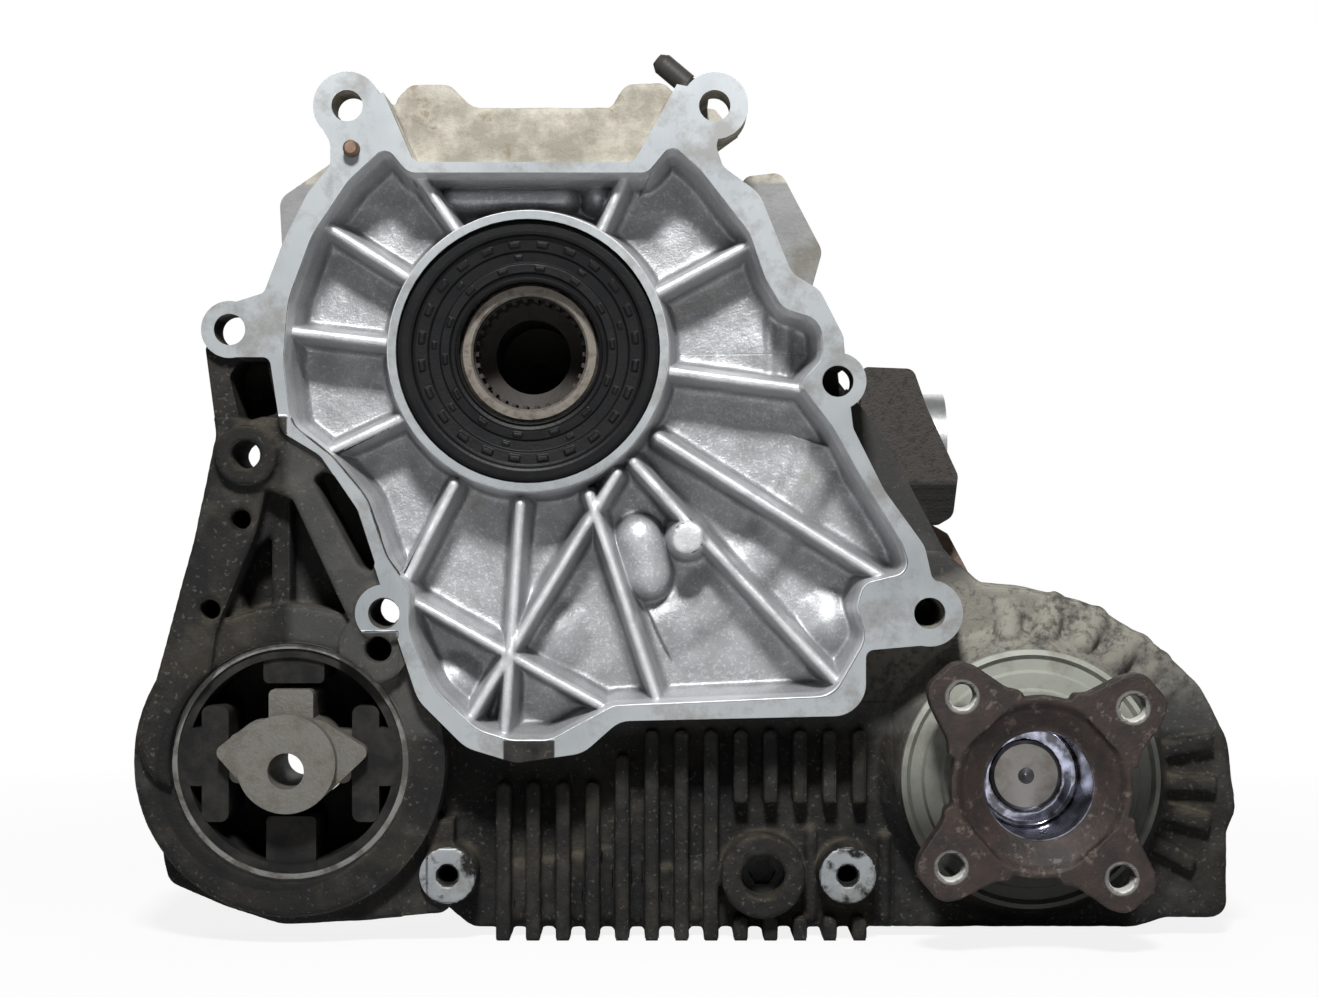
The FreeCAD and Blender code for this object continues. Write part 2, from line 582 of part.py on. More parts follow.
def chainSprocket(name, bore, place=None, hub=0.0):
    """A sprocket whose tooth gaps lie at the chain's tangent points."""
    part = SubPart(name, place)
    radius, teeth = size("pitch_radius"), int(size("teeth"))
    middle = radius * math.cos(math.pi / teeth)
    tip, root = middle - 0.95, middle - 4.8
    gapAngle = size("line_angle") + 90
    outline = []
    for k in range(teeth):
        centre = gapAngle + (k + 0.5) * 360.0 / teeth
        for reach, across in ((root, -2.2), (tip, -0.8), (tip, 0.8), (root, 2.2)):
            outline.append(turned(reach, across, centre))
    part.pad([corners(outline), ring(0, 0, bore)], "Sizes.chain_front - 0.8", "Sizes.chain_front + 17.2")
    if hub:
        part.pad([ring(0, 0, bore + hub), ring(0, 0, bore)], "Sizes.chain_front + 17.2", "Sizes.basket_front")
    return part


def chainPins():
    """Pin places of the closed chain, in order, on the pitch line."""
    radius, pitch, teeth = size("pitch_radius"), size("pitch"), int(size("teeth"))
    runs, slope = int(size("run_links")), size("line_angle")
    step = 360.0 / teeth
    pins = []
    for k in range(runs):
        x, z = turned(k * pitch, radius, slope)
        pins.append((x, z))
    for k in range(teeth // 2):
        x, z = turned(radius, 0, slope + 90 - k * step)
        pins.append((x + outputAxis[0], z + outputAxis[1]))
    for k in range(runs):
        x, z = turned(size("centre_distance") - k * pitch, -radius, slope)
        pins.append((x, z))
    for k in range(teeth // 2):
        pins.append(turned(radius, 0, slope - 90 - k * step))
    return pins


def driveChain():
    """Inverted-tooth chain: each link has two toes that straddle one sprocket tooth."""
    pitch, front, width = size("pitch"), size("chain_front"), size("chain_width")
    half = pitch / 2
    shape = [(0.15, 3.2), (1.0, 3.9), (pitch - 1.0, 3.9), (pitch - 0.15, 3.2), (pitch - 0.3, -1),
             (pitch - 1.4, -4.1), (pitch - 2.3, -4.1), (half + 0.95, -0.6), (half - 0.95, -0.6),
             (2.3, -4.1), (1.4, -4.1), (0.3, -1)]
    pins = chainPins()
    links = []
    for k, (x, z) in enumerate(pins):
        nextX, nextZ = pins[(k + 1) % len(pins)]
        heading = math.degrees(math.atan2(nextZ - z, nextX - x))
        points = []
        for along, outward in shape:
            dx, dz = turned(along, outward, heading)
            points.append(Vector(x + dx, front, z + dz))
        face = Part.Face(Part.makePolygon(points + points[:1]))
        links.append(face.extrude(Vector(0, width - 1.6, 0)))
    return solidPart("drive_chain", Part.makeCompound(links))


def clutchPieces():
    basket = SubPart("clutch_basket")
    inner, outer = size("basket_inner"), size("basket_radius")
    front, back = size("basket_front"), size("basket_back")
    basket.turn([(22.6, front), (outer - 2, front), (outer, front + 2), (outer, back), (inner, back),
                 (inner, front + 4), (22.6, front + 4)])
    slots = [bar(turned(53, 0, a), turned(60, 0, a), 7) for a in range(0, 360, 45)]
    basket.pocket(slots, "Sizes.stack_front - 1", "Sizes.basket_back")
    hub = SubPart("clutch_hub")
    bore, rim = size("shaft_mid") + size("seat_gap"), size("hub_ring")
    hub.turn([(bore, 77), (27, 77), (27, 88), (rim - 4, 90), (rim - 4, 79), (rim, 79), (rim, 105.2),
              (rim - 4, 105.2), (rim - 4, 94), (27, 92), (27, 98), (bore, 98)])
    plateStack("friction_plates", size("hub_ring") + 0.15, 52.5, 0)
    plateStack("steel_plates", 42, 55.2, size("stack_step") / 2)


def plateStack(name, inner, outer, start):
    """The plates of one kind, as separate rings an equal step apart."""
    part = SubPart(name)
    part.body.AllowCompound = True
    thick, step = size("disc_thick"), size("stack_step")
    rings = part.sketch([], "XY_Plane")
    for k in range(int(size("disc_count"))):
        front = size("stack_front") + start + k * step
        back = front + thick
        rings.addGeometry(corners([(inner, front), (outer, front), (outer, back), (inner, back)]))
    part.feature("Revolution", rings, True, {"ReferenceAxis": (rings, ["V_Axis"]), "Angle": 360.0}, {})


def pressurePieces():
    front = size("plate_front")
    plate = SubPart("pressure_plate")
    plate.turn([(30, front), (54.8, front), (54.8, front + 4), (46, front + 5.6), (30, front + 5.6)])
    tube("clutch_thrust_bearing", 26, 44, front + 5.9, size("lever_front") - 0.3)


def lever(name, front, side):
    """A ball-ramp ring with an arm that reaches past the cam on one side."""
    part = SubPart(name)
    back = front + size("lever_thick")
    part.turn([(24, front), (47, front), (47, back), (24, back)])
    reach, towards = size("cam_x"), math.degrees(math.atan2(size("cam_z"), size("cam_x")))
    offset = side * (size("cam_low") + 0.8 + size("arm_width") / 2)
    start, end = turned(36, offset, towards), turned(reach + 8, offset, towards)
    part.pad([bar(start, end, size("arm_width"))], str(front), str(back))
    return part


def rampBalls():
    """Balls between the two ramp rings."""
    radius, count = size("ball_radius"), int(size("ball_count"))
    middle = size("lever_front") + size("lever_thick") + 1.1
    centres = [turned(38, 0, 360.0 / count * k + 90) for k in range(count)]
    balls = [Part.makeSphere(radius, Vector(x, middle, z)) for x, z in centres]
    return solidPart("ramp_balls", Part.makeCompound(balls))


def controlCam():
    """Double spiral cam on one shaft with its worm wheel."""
    part = SubPart("control_cam", (size("cam_x"), size("cam_z")))
    low, rise, sweep = size("cam_low"), size("cam_rise"), size("cam_sweep")
    outline = []
    for lobe in (90, 270):
        for step in range(9):
            outline.append(turned(low + rise * step / 8, 0, lobe + sweep * step / 8))
        for angle in (104, 125, 145, 165):
            outline.append(turned(low, 0, lobe + angle))
    part.pad([corners(outline)], "Sizes.lever_front - 1", "Sizes.lever_front + 16")
    teeth, tip = int(size("wheel_teeth")), size("wheel_radius")
    rim = []
    for k in range(teeth):
        for reach, across in ((tip - 3, -1.5), (tip, -0.7), (tip, 0.7), (tip - 3, 1.5)):
            rim.append(turned(reach, across, 360.0 / teeth * k))
    part.pad([corners(rim)], "Sizes.worm_y - 4.5", "Sizes.worm_y + 4.5")
    part.pad([ring(0, 0, 5)], "86", "Sizes.lever_front + 17.2")
    return part


def servo():
    """Motor, its worm shaft, the plug and the damping wrap round the motor."""
    y, z, worm = size("worm_y"), size("worm_z"), size("worm_radius")
    motor = SubPart("servo_motor")
    can = motor.sketch([ring(y, z, 20)], "YZ_Plane", {"z": "116"})
    motor.feature("Pad", can, True, {"Length": 44}, {})
    ears = [(y - 27, z - 14, 5), (y + 27, z - 14, 5), (y + 27, z + 14, 5), (y - 27, z + 14, 5)]
    flange = motor.sketch([corners(ears)], "YZ_Plane", {"z": "112.1"})
    motor.feature("Pad", flange, True, {"Length": 5}, {})
    bore = motor.sketch([ring(y, z, 4.5)], "YZ_Plane", {"z": "100"})
    motor.feature("Pocket", bore, False, {"Length": 40, "Reversed": True}, {})
    shaft = SubPart("servo_worm")
    profile = [(66, 0), (66, 3), (71, 3)]
    for k in range(5):
        x = 71 + 5.6 * k
        profile += [(x, worm), (x + 3.2, worm), (x + 4.0, worm - 1.8), (x + 5.6, worm - 1.8)]
    profile += [(99, 4.2), (138, 4.2), (138, 0)]
    thread = shaft.sketch([corners(profile)], "XY_Plane", {"y": "Sizes.worm_y", "z": "Sizes.worm_z"})
    shaft.feature("Revolution", thread, True, {"ReferenceAxis": (thread, ["H_Axis"]), "Angle": 360.0}, {})
    wrap = SubPart("motor_wrap")
    wrap.pad([corners([(126, -1.5, 3), (146.5, -2.3, 4), (151.6, -17, 8), (164, -44, 5), (162, -60, 5),
                       (156, -63.5, 4), (126, -63.5, 3)])], "87", "136")
    cut = wrap.sketch([ring(y, z, 20.1)], "YZ_Plane", {"z": "110"})
    wrap.feature("Pocket", cut, False, {"Length": 51, "Reversed": True}, {})
    tab = SubPart("bracket_tab")
    tab.pad([corners([(151, -63.6), (156, -63.6), (162, -67, 2), (170, -82), (164.5, -82), (157, -70, 3),
                      (151, -70)])], "106", "109")
    plug = SubPart("servo_connector")
    plug.pad([corners([(130, -42, 2), (152, -42, 2), (152, -24, 2), (130, -24, 2)])], "136", "152")


def rearFlange():
    """Three-armed flange for the flexible disc of the rear shaft."""
    part = SubPart("rear_output_flange")
    bore = size("flange_seat") + size("seat_gap")
    part.turn([(bore, 167.2), (20, 167.2), (20, 178), (30, 182), (30, 190), (24, 190), (20, 187),
               (bore, 186.5)])
    for angle in (90, 210, 330):
        arm = [(22, -21, 3), (48, -11.5, 3), (59, -8, 7), (59, 8, 7), (48, 11.5, 3), (22, 21, 3)]
        part.pad([corners([turned(a, b, angle) + (r,) for a, b, r in arm])], "182", "190")
    holes = [turned(48, 0, angle) for angle in (90, 210, 330)]
    part.pocket([ring(x, z, 6.1) for x, z in holes], "182", "190")
    return part


def hexNut(name, across, bore, front, back, place=None):
    part = SubPart(name, place)
    points = [turned(across / math.sqrt(3), 0, 60 * k + 30) for k in range(6)]
    part.pad([corners(points), ring(0, 0, bore)], str(front), str(back))
    return part


# ---------------------------------------------------------------- front output

def outputShaft():
    part = SubPart("front_output_shaft", outputAxis)
    front, stub = size("shaft_end"), size("stub_radius")
    part.turn([(0, front + 2.5), (3, front + 0.6), (3, front), (stub - 1.2, front), (stub, front + 1.2),
               (stub, 32.2), (17.5, 32.2), (17.5, 47.4), (20, 47.4), (20, 67.6), (15, 67.6), (15, 83),
               (0, 83)])
    return part


def outputFlange():
    """Four-armed flange with a deep cup; its hub runs in the output seal."""
    part = SubPart("front_output_flange", outputAxis)
    face, thick, hub = size("flange_face"), size("flange_thick"), size("hub_radius")
    cup, stub = size("cup_bore"), size("stub_radius") + size("seat_gap")
    part.turn([(27, face + 3), (30, face), (32, face), (32, face + thick), (hub + 3, face + thick + 3),
               (hub, face + thick + 8), (hub, 32), (stub, 32), (stub, 23.5), (cup, 23.5), (cup, face + 3)])
    circle, reach = size("flange_hole_circle"), size("arm_radius")
    for quarter in range(4):
        angle = 41.3 + 90 * quarter
        arm = [(28, -19, 2), (34, -14, 8), (reach - 6, -10.6, 4), (reach, -7, 8), (reach, 7, 8),
               (reach - 6, 10.6, 4), (34, 14, 8), (28, 19, 2)]
        part.pad([corners([turned(a, b, angle) + (r,) for a, b, r in arm])], "Sizes.flange_face",
                 "Sizes.flange_face + Sizes.flange_thick")
    holes = [turned(circle, 0, 41.3 + 90 * quarter) for quarter in range(4)]
    part.pocket([ring(x, z, size("flange_hole")) for x, z in holes], "Sizes.flange_face - 1",
                "Sizes.flange_face + Sizes.flange_thick")
    return part


def dustShield():
    """Pressed disc behind the flange, in concentric steps."""
    part = SubPart("dust_shield", outputAxis)
    hub = size("hub_radius") + size("seat_gap")
    part.turn([(hub, 6), (32, 6), (33, 8), (38.5, 8), (39.5, 10), (43.5, 10), (45, 8.4), (46.8, 9.4),
               (46.8, 13.5), (45.4, 13.5), (45, 12), (38, 12.2), (37, 10.4), (31, 10.4), (30, 9), (hub, 9)])
    return part


# ---------------------------------------------------------------- mount bush

def mountBush():
    place = (size("mount_x"), size("mount_z"))
    front, back, outer = size("mount_front") + 1.5, size("mount_back") - 2, size("mount_bore") - 0.02
    sleeve = SubPart("mount_sleeve", place)
    sleeve.pad([ring(0, 0, outer), ring(0, 0, outer - 2.2)], str(front), str(back))
    core = SubPart("mount_core", place)
    core.pad([ring(0, 0, size("core_radius"))], "-2", str(back - 4))
    core.pad([corners([(-27, 4, 3), (-12, 15.5, 8), (12, 15.5, 8), (30, 4, 3), (12, -13, 8), (-12, -13, 8)])],
             "4", "10")
    core.pad([corners([(-22, 10, 3), (22, 10, 3), (22, -8, 3), (-22, -8, 3)])], "10", str(back - 8))
    core.pad([corners([(-7.5, 12), (8.5, 12), (8.5, 26, 2), (-7.5, 26, 2)])], "8", str(back - 12))
    core.pocket([ring(0, -2.5, size("core_bore"))], "-2", str(back - 4))
    rubber = SubPart("mount_rubber", place)
    inside = outer - 2.25
    rubber.pad([ring(0, 0, inside), ring(0, 0, inside - 3.2)], str(front + 1), str(back - 1))
    blocks = [
        ("10.2", 4, [(-32, -22, 3), (-22.3, -22, 3), (-22.3, 20, 3), (-32, 20, 3)]),
        ("10.2", 4, [(-38, -9, 2), (-31, -9), (-31, 12), (-38, 12, 2)]),
        ("10.2", 4, [(22.3, -22, 3), (32, -22, 3), (32, 20, 3), (22.3, 20, 3)]),
        ("10.2", 4, [(31, -9), (38, -9, 2), (38, 12, 2), (31, 12)]),
        ("12", 6, [(-9, -38.5), (-9, -20.2, 2), (9, -20.2, 2), (9, -38.5)]),
        ("12", 6, [(-10, 28, 2), (-10, 38), (12, 38), (12, 28, 2)]),
    ]
    for start, short, outline in blocks:
        rubber.pad([corners(outline)], start, str(back - short))
    rubber.pad([ring(0, 0, inside - 1), ring(0, 0, size("core_radius") + 0.2)], "46.3", "51")
    return sleeve, core, rubber


# ---------------------------------------------------------------- small parts

def screwGroup(name, places, shank, across, height, front, back):
    """Equal hexagon screws along Y with their heads at the back, as separate solids."""
    solids = []
    for x, z in places:
        rod = Part.makeCylinder(shank, back - front, Vector(x, front, z), Vector(0, 1, 0))
        points = []
        for k in range(6):
            dx, dz = turned(across / math.sqrt(3), 0, 60 * k)
            points.append(Vector(x + dx, back, z + dz))
        head = Part.Face(Part.makePolygon(points + points[:1])).extrude(Vector(0, height, 0))
        solids.append(rod.fuse(head).removeSplitter())
    return solidPart(name, Part.makeCompound(solids))


def smallParts():
    fit = size("running_fit")
    tube("main_front_bearing", size("front_seat") + fit, size("bearing_outer") - 0.02, size("bearing_front"),
         size("bearing_back") - 0.2)
    tube("main_rear_bearing", size("rear_seat") + fit, size("rear_bearing_outer") - 0.02,
         size("rear_bearing_front"), size("rear_bearing_back"))
    tube("drum_needle_sleeve", size("shaft_mid") + fit, 22.5, 47, 76)
    tube("rear_output_seal", 20.05, size("rear_bearing_outer") - 0.02, 168, size("rear_seal_back"))
    tube("ramp_support_bearing", 26, 46, 131.8, 135)
    tube("output_front_bearing", 17.55, size("output_bearing") - 0.02, 33, 46.8, outputAxis)
    tube("output_rear_bearing", 15.05, 31.98, 69, 82, outputAxis)
    tube("oil_pump_rotor", size("shaft_slim") + size("seat_gap"), 28, 137, 146)
    tube("oil_pump_body", 28.3, 49.9, 136, 147.8)
    pin = SubPart("dowel_pin", (-62.6, 71.8))
    pin.turn([(0, -5), (2, -5), (2.8, -4), (2.8, 11.5), (0, 11.5)])
    plug = SubPart("filler_plug", fillerPlace)
    plug.turn([(0, 86), (4, 86), (4, 91), (12.5, 91), (13, 90.5), (13, 88.1), (8.9, 88.1), (8.9, 82), (0, 82)])
    drain = SubPart("drain_plug", drainPlace)
    drain.pad([ring(0, 0, 8.28)], "29", "37.9")
    drain.pocket([corners([turned(5.2, 0, 60 * k) for k in range(6)])], "29", "34")
    screwGroup("case_bolts", caseBoltPlaces, 4.0, 13, 6, 56, size("rear_flange"))


def breather():
    """Bent vent pipe behind the top ear, closed by a blunt cap at its upper end."""
    radius = 4.2
    route = [Vector(48.4, 51, 110.8), Vector(56.5, 51, 104), Vector(61, 51, 90), Vector(61, 56, 87)]
    solids = []
    for a, b in zip(route, route[1:]):
        overrun = (b - a).normalize() * (1.5 if b != route[-1] else 0)
        solids.append(Part.makeCylinder(radius, (b - a + overrun).Length, a, b - a))
    upwards = route[0] - route[1]
    solids.append(Part.makeCone(radius, 2.4, 2.6, route[0], upwards))
    pipe = solids[0].fuse(solids[1:]).removeSplitter()
    behind = Part.makeBox(60, 20, 60, Vector(30, 56, 60))
    return solidPart("breather_pipe", pipe.cut(behind))


def buildAll():
    frontHousing()
    rearHousing()
    mainShaft()
    frontSeal("input_seal", size("sleeve_radius") + 0.05, size("seal_radius") - 0.02, 7, 20)
    chainSprocket("drive_sprocket", 22.6, hub=3.6)
    chainSprocket("driven_sprocket", 20.03, outputAxis)
    driveChain()
    clutchPieces()
    pressurePieces()
    lever("ramp_lever_front", size("lever_front"), 1)
    lever("ramp_lever_rear", size("lever_front") + 8.2, -1)
    rampBalls()
    controlCam()
    servo()
    rearFlange()
    hexNut("rear_flange_nut", 27, 10.05, 187.1, 197)
    outputShaft()
    outputFlange()
    frontSeal("front_output_seal", size("hub_radius") + 0.05, size("output_bearing") - 0.02, 20, 32, outputAxis)
    dustShield()
    mountBush()
    smallParts()
    breather()


def writeAll():
    doc.recompute()
    for item in doc.Objects:
        if "Invalid" in item.State or "Error" in item.State:
            raise RuntimeError("%s is %s" % (item.Label, item.State))
    os.makedirs("parts", exist_ok=True)
    for item in subParts:
        shape = item.Shape
        if shape.isNull() or not shape.isValid():
            raise RuntimeError("%s has no valid shape" % item.Label)
        shape.exportStep("parts/%s.step" % item.Label)
        print("%-24s %2d solids %8.1f cm3" % (item.Label, len(shape.Solids), shape.Volume / 1000))


buildAll()
writeAll()
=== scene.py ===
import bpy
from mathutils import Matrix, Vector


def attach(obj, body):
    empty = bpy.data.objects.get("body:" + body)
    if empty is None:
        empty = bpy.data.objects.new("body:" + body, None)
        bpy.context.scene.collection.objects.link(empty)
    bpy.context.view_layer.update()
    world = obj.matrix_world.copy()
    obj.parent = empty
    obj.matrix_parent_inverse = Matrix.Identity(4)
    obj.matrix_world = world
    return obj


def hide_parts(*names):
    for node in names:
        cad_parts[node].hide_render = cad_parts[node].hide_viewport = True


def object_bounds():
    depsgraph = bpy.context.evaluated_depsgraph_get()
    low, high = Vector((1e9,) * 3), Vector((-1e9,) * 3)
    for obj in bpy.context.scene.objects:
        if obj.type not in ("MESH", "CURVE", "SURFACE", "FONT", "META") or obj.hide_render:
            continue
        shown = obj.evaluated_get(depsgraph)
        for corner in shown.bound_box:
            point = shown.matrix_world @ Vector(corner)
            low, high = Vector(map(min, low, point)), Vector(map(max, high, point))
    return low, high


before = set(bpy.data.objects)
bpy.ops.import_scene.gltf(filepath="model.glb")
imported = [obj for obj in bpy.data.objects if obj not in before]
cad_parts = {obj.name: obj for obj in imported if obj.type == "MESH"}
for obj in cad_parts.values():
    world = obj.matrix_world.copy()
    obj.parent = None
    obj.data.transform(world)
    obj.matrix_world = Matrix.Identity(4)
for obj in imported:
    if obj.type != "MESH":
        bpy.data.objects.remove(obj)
cadBox = [list(corner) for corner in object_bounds()]

import math
import bmesh
import bpy
import numpy as np
from mathutils import Vector

# Everything is in metres. Helper shapes are worked out in millimetres with the gearbox face at depth 0 and
# then moved: depth 0 lies faceBack in front of the row's origin.
mm = 0.001
faceBack = 22.0
chainPitch = 9.525
lineAngle = math.radians(-40.4)
chainPitches = 25  # between the two axes
outputX = chainPitches * chainPitch * math.cos(lineAngle)
outputZ = chainPitches * chainPitch * math.sin(lineAngle)


# Mesh helpers

# Arrays in millimetres, depth counted from the gearbox face, as one array of points in metres.
def place(x, depth, z):
    x, depth, z = np.broadcast_arrays(x, depth, z)
    return np.stack([x, depth - faceBack, z], axis=-1) * mm


# An object that holds a mesh, a lamp or a camera, put into the scene.
def linked(name, data):
    holder = bpy.data.objects.new(name, data)
    bpy.context.scene.collection.objects.link(holder)
    return holder


# A mesh object from an array of points and an array of faces, riding on a body.
def makePiece(name, points, faces, body, material):
    mesh = bpy.data.meshes.new(name)
    mesh.from_pydata(points.reshape(-1, 3).tolist(), [], faces)
    mesh.validate()
    mesh.update()
    piece = linked(name, mesh)
    mesh.materials.append(material)
    mesh.polygons.foreach_set("use_smooth", np.ones(len(mesh.polygons), dtype=bool))
    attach(piece, body)
    return piece


# Quads of a grid whose point (i, j) has the number i * columns + j.
def gridFaces(rows, columns, wrapRows=False, wrapColumns=False, flip=False):
    i = np.arange(rows if wrapRows else rows - 1)
    j = np.arange(columns if wrapColumns else columns - 1)
    i, j = np.meshgrid(i, j, indexing="ij")
    i2, j2 = (i + 1) % rows, (j + 1) % columns
    quads = np.stack([i * columns + j, i2 * columns + j, i2 * columns + j2, i * columns + j2], axis=-1)
    quads = quads.reshape(-1, 4)
    return (quads[:, ::-1] if flip else quads).tolist()


# A number for each point, which a material can read.
def addAttribute(piece, name, values):
    layer = piece.data.attributes.new(name, "FLOAT", "POINT")
    layer.data.foreach_set("value", np.ascontiguousarray(values, dtype=np.float32).ravel())


# Points round a closed outline; each corner (x, z, radius) is a tangent arc between its straight sides.
def roundedOutline(corners, spacing=0.8):
    spots = np.array([(c[0], c[1]) for c in corners], dtype=float)
    radii = [c[2] if len(c) > 2 else 0.0 for c in corners]
    path = []
    for k, here in enumerate(spots):
        before, after = spots[k - 1] - here, spots[(k + 1) % len(spots)] - here
        lengthBefore, lengthAfter = np.linalg.norm(before), np.linalg.norm(after)
        before, after = before / lengthBefore, after / lengthAfter
        half = math.acos(np.clip(before @ after, -1, 1)) / 2
        if radii[k] <= 0 or abs(half - math.pi / 2) < 0.01:
            path.append(here)
            continue
        reach = min(radii[k] / math.tan(half), 0.49 * lengthBefore, 0.49 * lengthAfter)
        radius = reach * math.tan(half)
        centre = here + (before + after) / np.linalg.norm(before + after) * (reach / math.cos(half))
        first, last = here + before * reach - centre, here + after * reach - centre
        startAngle = math.atan2(first[1], first[0])
        turn = (math.atan2(last[1], last[0]) - startAngle + math.pi) % (2 * math.pi) - math.pi
        steps = max(2, int(abs(turn) * radius / spacing))
        angles = startAngle + turn * np.linspace(0, 1, steps + 1)
        path.extend(centre + radius * np.stack([np.cos(angles), np.sin(angles)], axis=-1))
    return np.array(path)


# Distance of points to a straight segment, and how far along it (0 to 1) the nearest spot is.
def segmentDistance(x, z, start, end):
    ax, az = start
    dx, dz = end[0] - ax, end[1] - az
    along = np.clip(((x - ax) * dx + (z - az) * dz) / (dx * dx + dz * dz), 0, 1)
    return np.hypot(x - ax - along * dx, z - az - along * dz), along


# Distance of points to a closed outline: the least over its segments.
def outlineDistance(x, z, outline):
    nearest = np.full(x.shape, 1e9)
    for k in range(len(outline)):
        distance, _ = segmentDistance(x, z, outline[k - 1], outline[k])
        nearest = np.minimum(nearest, distance)
    return nearest


# The lesser of two heights, with the edge between them rounded over a reach.
def smoothMin(a, b, reach):
    blend = np.maximum(reach - np.abs(a - b), 0) / reach
    return np.minimum(a, b) - blend * blend * reach / 4


# Soft random relief: a sum of sine waves in scattered directions, finer and lower in each octave.
def waves(x, y, z, size, seed, octaves=3):
    draw = np.random.default_rng(seed)
    total = np.zeros(np.broadcast(x, y, z).shape)
    for octave in range(octaves):
        for _ in range(6):
            direction = draw.normal(size=3)
            direction *= 2 * math.pi * 2 ** octave / size / np.linalg.norm(direction)
            phase = x * direction[0] + y * direction[1] + z * direction[2] + draw.uniform(0, 6.28)
            total += np.sin(phase) / 2 ** octave
    return total / 6


# Shader helpers

# A socket that Python's operators join into Math nodes.
class Value:
    def __init__(self, graph, socket):
        self.graph = graph
        self.socket = socket

    def maths(self, operation, *others, clamp=False):
        inputs = {k: v for k, v in enumerate((self,) + others)}
        return self.graph.node("Math", {"operation": operation, "use_clamp": clamp}, inputs)

    def __add__(self, other):
        return self.maths("ADD", other)

    def __sub__(self, other):
        return self.maths("SUBTRACT", other)

    def __mul__(self, other):
        return self.maths("MULTIPLY", other)

    def __truediv__(self, other):
        return self.maths("DIVIDE", other)

    def __rsub__(self, other):
        return (self * -1.0) + other

    __radd__ = __add__
    __rmul__ = __mul__

    # The sum, held between 0 and 1.
    def plus(self, other):
        return self.maths("ADD", other, clamp=True)

    # 1 where the value lies within reach of a level, with a soft edge.
    def near(self, level, reach):
        return (self - level).maths("ABSOLUTE").under(reach, 0.0002)

    # 0 below a level and 1 above it, with a soft edge.
    def over(self, level, softness):
        return ((self - level) / softness).plus(0.5)

    # 1 below a level and 0 above it, with a soft edge.
    def under(self, level, softness):
        return 1 - self.over(level, softness)


# The node tree of a material or a world.
class Graph:
    def __init__(self, owner):
        self.owner = owner
        owner.use_nodes = True
        self.tree = owner.node_tree
        self.tree.nodes.clear()
        self.spot = self.node("TexCoord", {}, {}, "Object")
        self.xyz = [self.node("SeparateXYZ", {}, {0: self.spot}, axis) for axis in "XYZ"]

    # A node of any type, its settings first and then its sockets; gives one output.
    def node(self, kind, settings, inputs, output=0):
        made = self.tree.nodes.new("ShaderNode" + kind)
        for key, setting in settings.items():
            setattr(made, key, setting)
        for key, given in inputs.items():
            if isinstance(given, Value):
                self.tree.links.new(given.socket, made.inputs[key])
            else:
                made.inputs[key].default_value = given
        if output is None:
            return made
        return Value(self, made.outputs[output])

    # Noise whose blobs are about size metres across, from 0 to 1.
    def noise(self, size, detail=4.0, rough=0.55, stretch=None):
        spot = self.spot
        if stretch:
            spot = self.node("Mapping", {}, {"Vector": spot, "Scale": stretch})
        inputs = {"Vector": spot, "Scale": 1 / size, "Detail": detail, "Roughness": rough}
        return self.node("TexNoise", {}, inputs)

    # The first colour where the factor is 0, the second where it is 1.
    def mix(self, factor, first, second):
        made = self.node("Mix", {"data_type": "RGBA"}, {}, None)
        for index, given in ((0, factor), (6, first), (7, second)):
            if isinstance(given, Value):
                self.tree.links.new(given.socket, made.inputs[index])
            else:
                made.inputs[index].default_value = given if index == 0 else (*given, 1.0)
        return Value(self, made.outputs[2])

    # How far the surface faces along an axis: 1 head on, -1 away.
    def facing(self, axis):
        normal = self.node("NewGeometry", {}, {}, "True Normal")
        return self.node("SeparateXYZ", {}, {0: normal}, "XYZ"[axis])

    # A number that the mesh holds for each point.
    def attribute(self, name):
        return self.node("Attribute", {"attribute_name": name}, {}, "Fac")

    # The surface shader, with a bump from a relief.
    def close(self, colour, rough, metal=0.0, relief=None, depth=0.0002, **plain):
        shader = self.node("BsdfPrincipled", {}, {}, None)
        for key, given in (("Base Color", colour), ("Roughness", rough), ("Metallic", metal)):
            if isinstance(given, Value):
                self.tree.links.new(given.socket, shader.inputs[key])
            else:
                shader.inputs[key].default_value = (*given, 1.0) if key == "Base Color" else given
        for key, given in plain.items():
            shader.inputs[key.replace("_", " ")].default_value = given
        if relief is not None:
            bump = self.node("Bump", {}, {"Height": relief, "Distance": depth, "Strength": 1.0})
            self.tree.links.new(bump.socket, shader.inputs["Normal"])
        output = self.node("OutputMaterial", {}, {}, None)
        self.tree.links.new(shader.outputs[0], output.inputs[0])
        return self.owner


# Finishes
print("finishes")

finish = {  # linear colours
    "bright": (0.43, 0.44, 0.452), "brightShade": (0.25, 0.256, 0.264), "glint": (0.62, 0.63, 0.64),
    "machined": (0.25, 0.27, 0.283), "machinedLight": (0.42, 0.44, 0.45),
    "machinedStain": (0.15, 0.135, 0.11),
    "dark": (0.0068, 0.0068, 0.0068), "darkWorn": (0.021, 0.0208, 0.020), "dirt": (0.085, 0.072, 0.048),
    "beige": (0.36, 0.34, 0.29), "beigeShade": (0.22, 0.205, 0.17), "stain": (0.17, 0.125, 0.075),
    "rearGrey": (0.27, 0.273, 0.27), "rearShade": (0.145, 0.148, 0.145), "mottle": (0.21, 0.20, 0.17),
    "rust": (0.028, 0.0165, 0.0125), "rustDark": (0.010, 0.0068, 0.0058), "rustBare": (0.085, 0.066, 0.056),
    "holeGlint": (0.50, 0.49, 0.46), "cornerShade": (0.085, 0.082, 0.077),
}


# Sand-cast skin: fine grain, softer lumps and scattered pits.
def castRelief(g, grain=0.0011, pits=0.004):
    fine = g.noise(grain, 3.0, 0.65)
    lumps = g.noise(pits, 2.0)
    return fine * 0.75 + lumps * 0.7


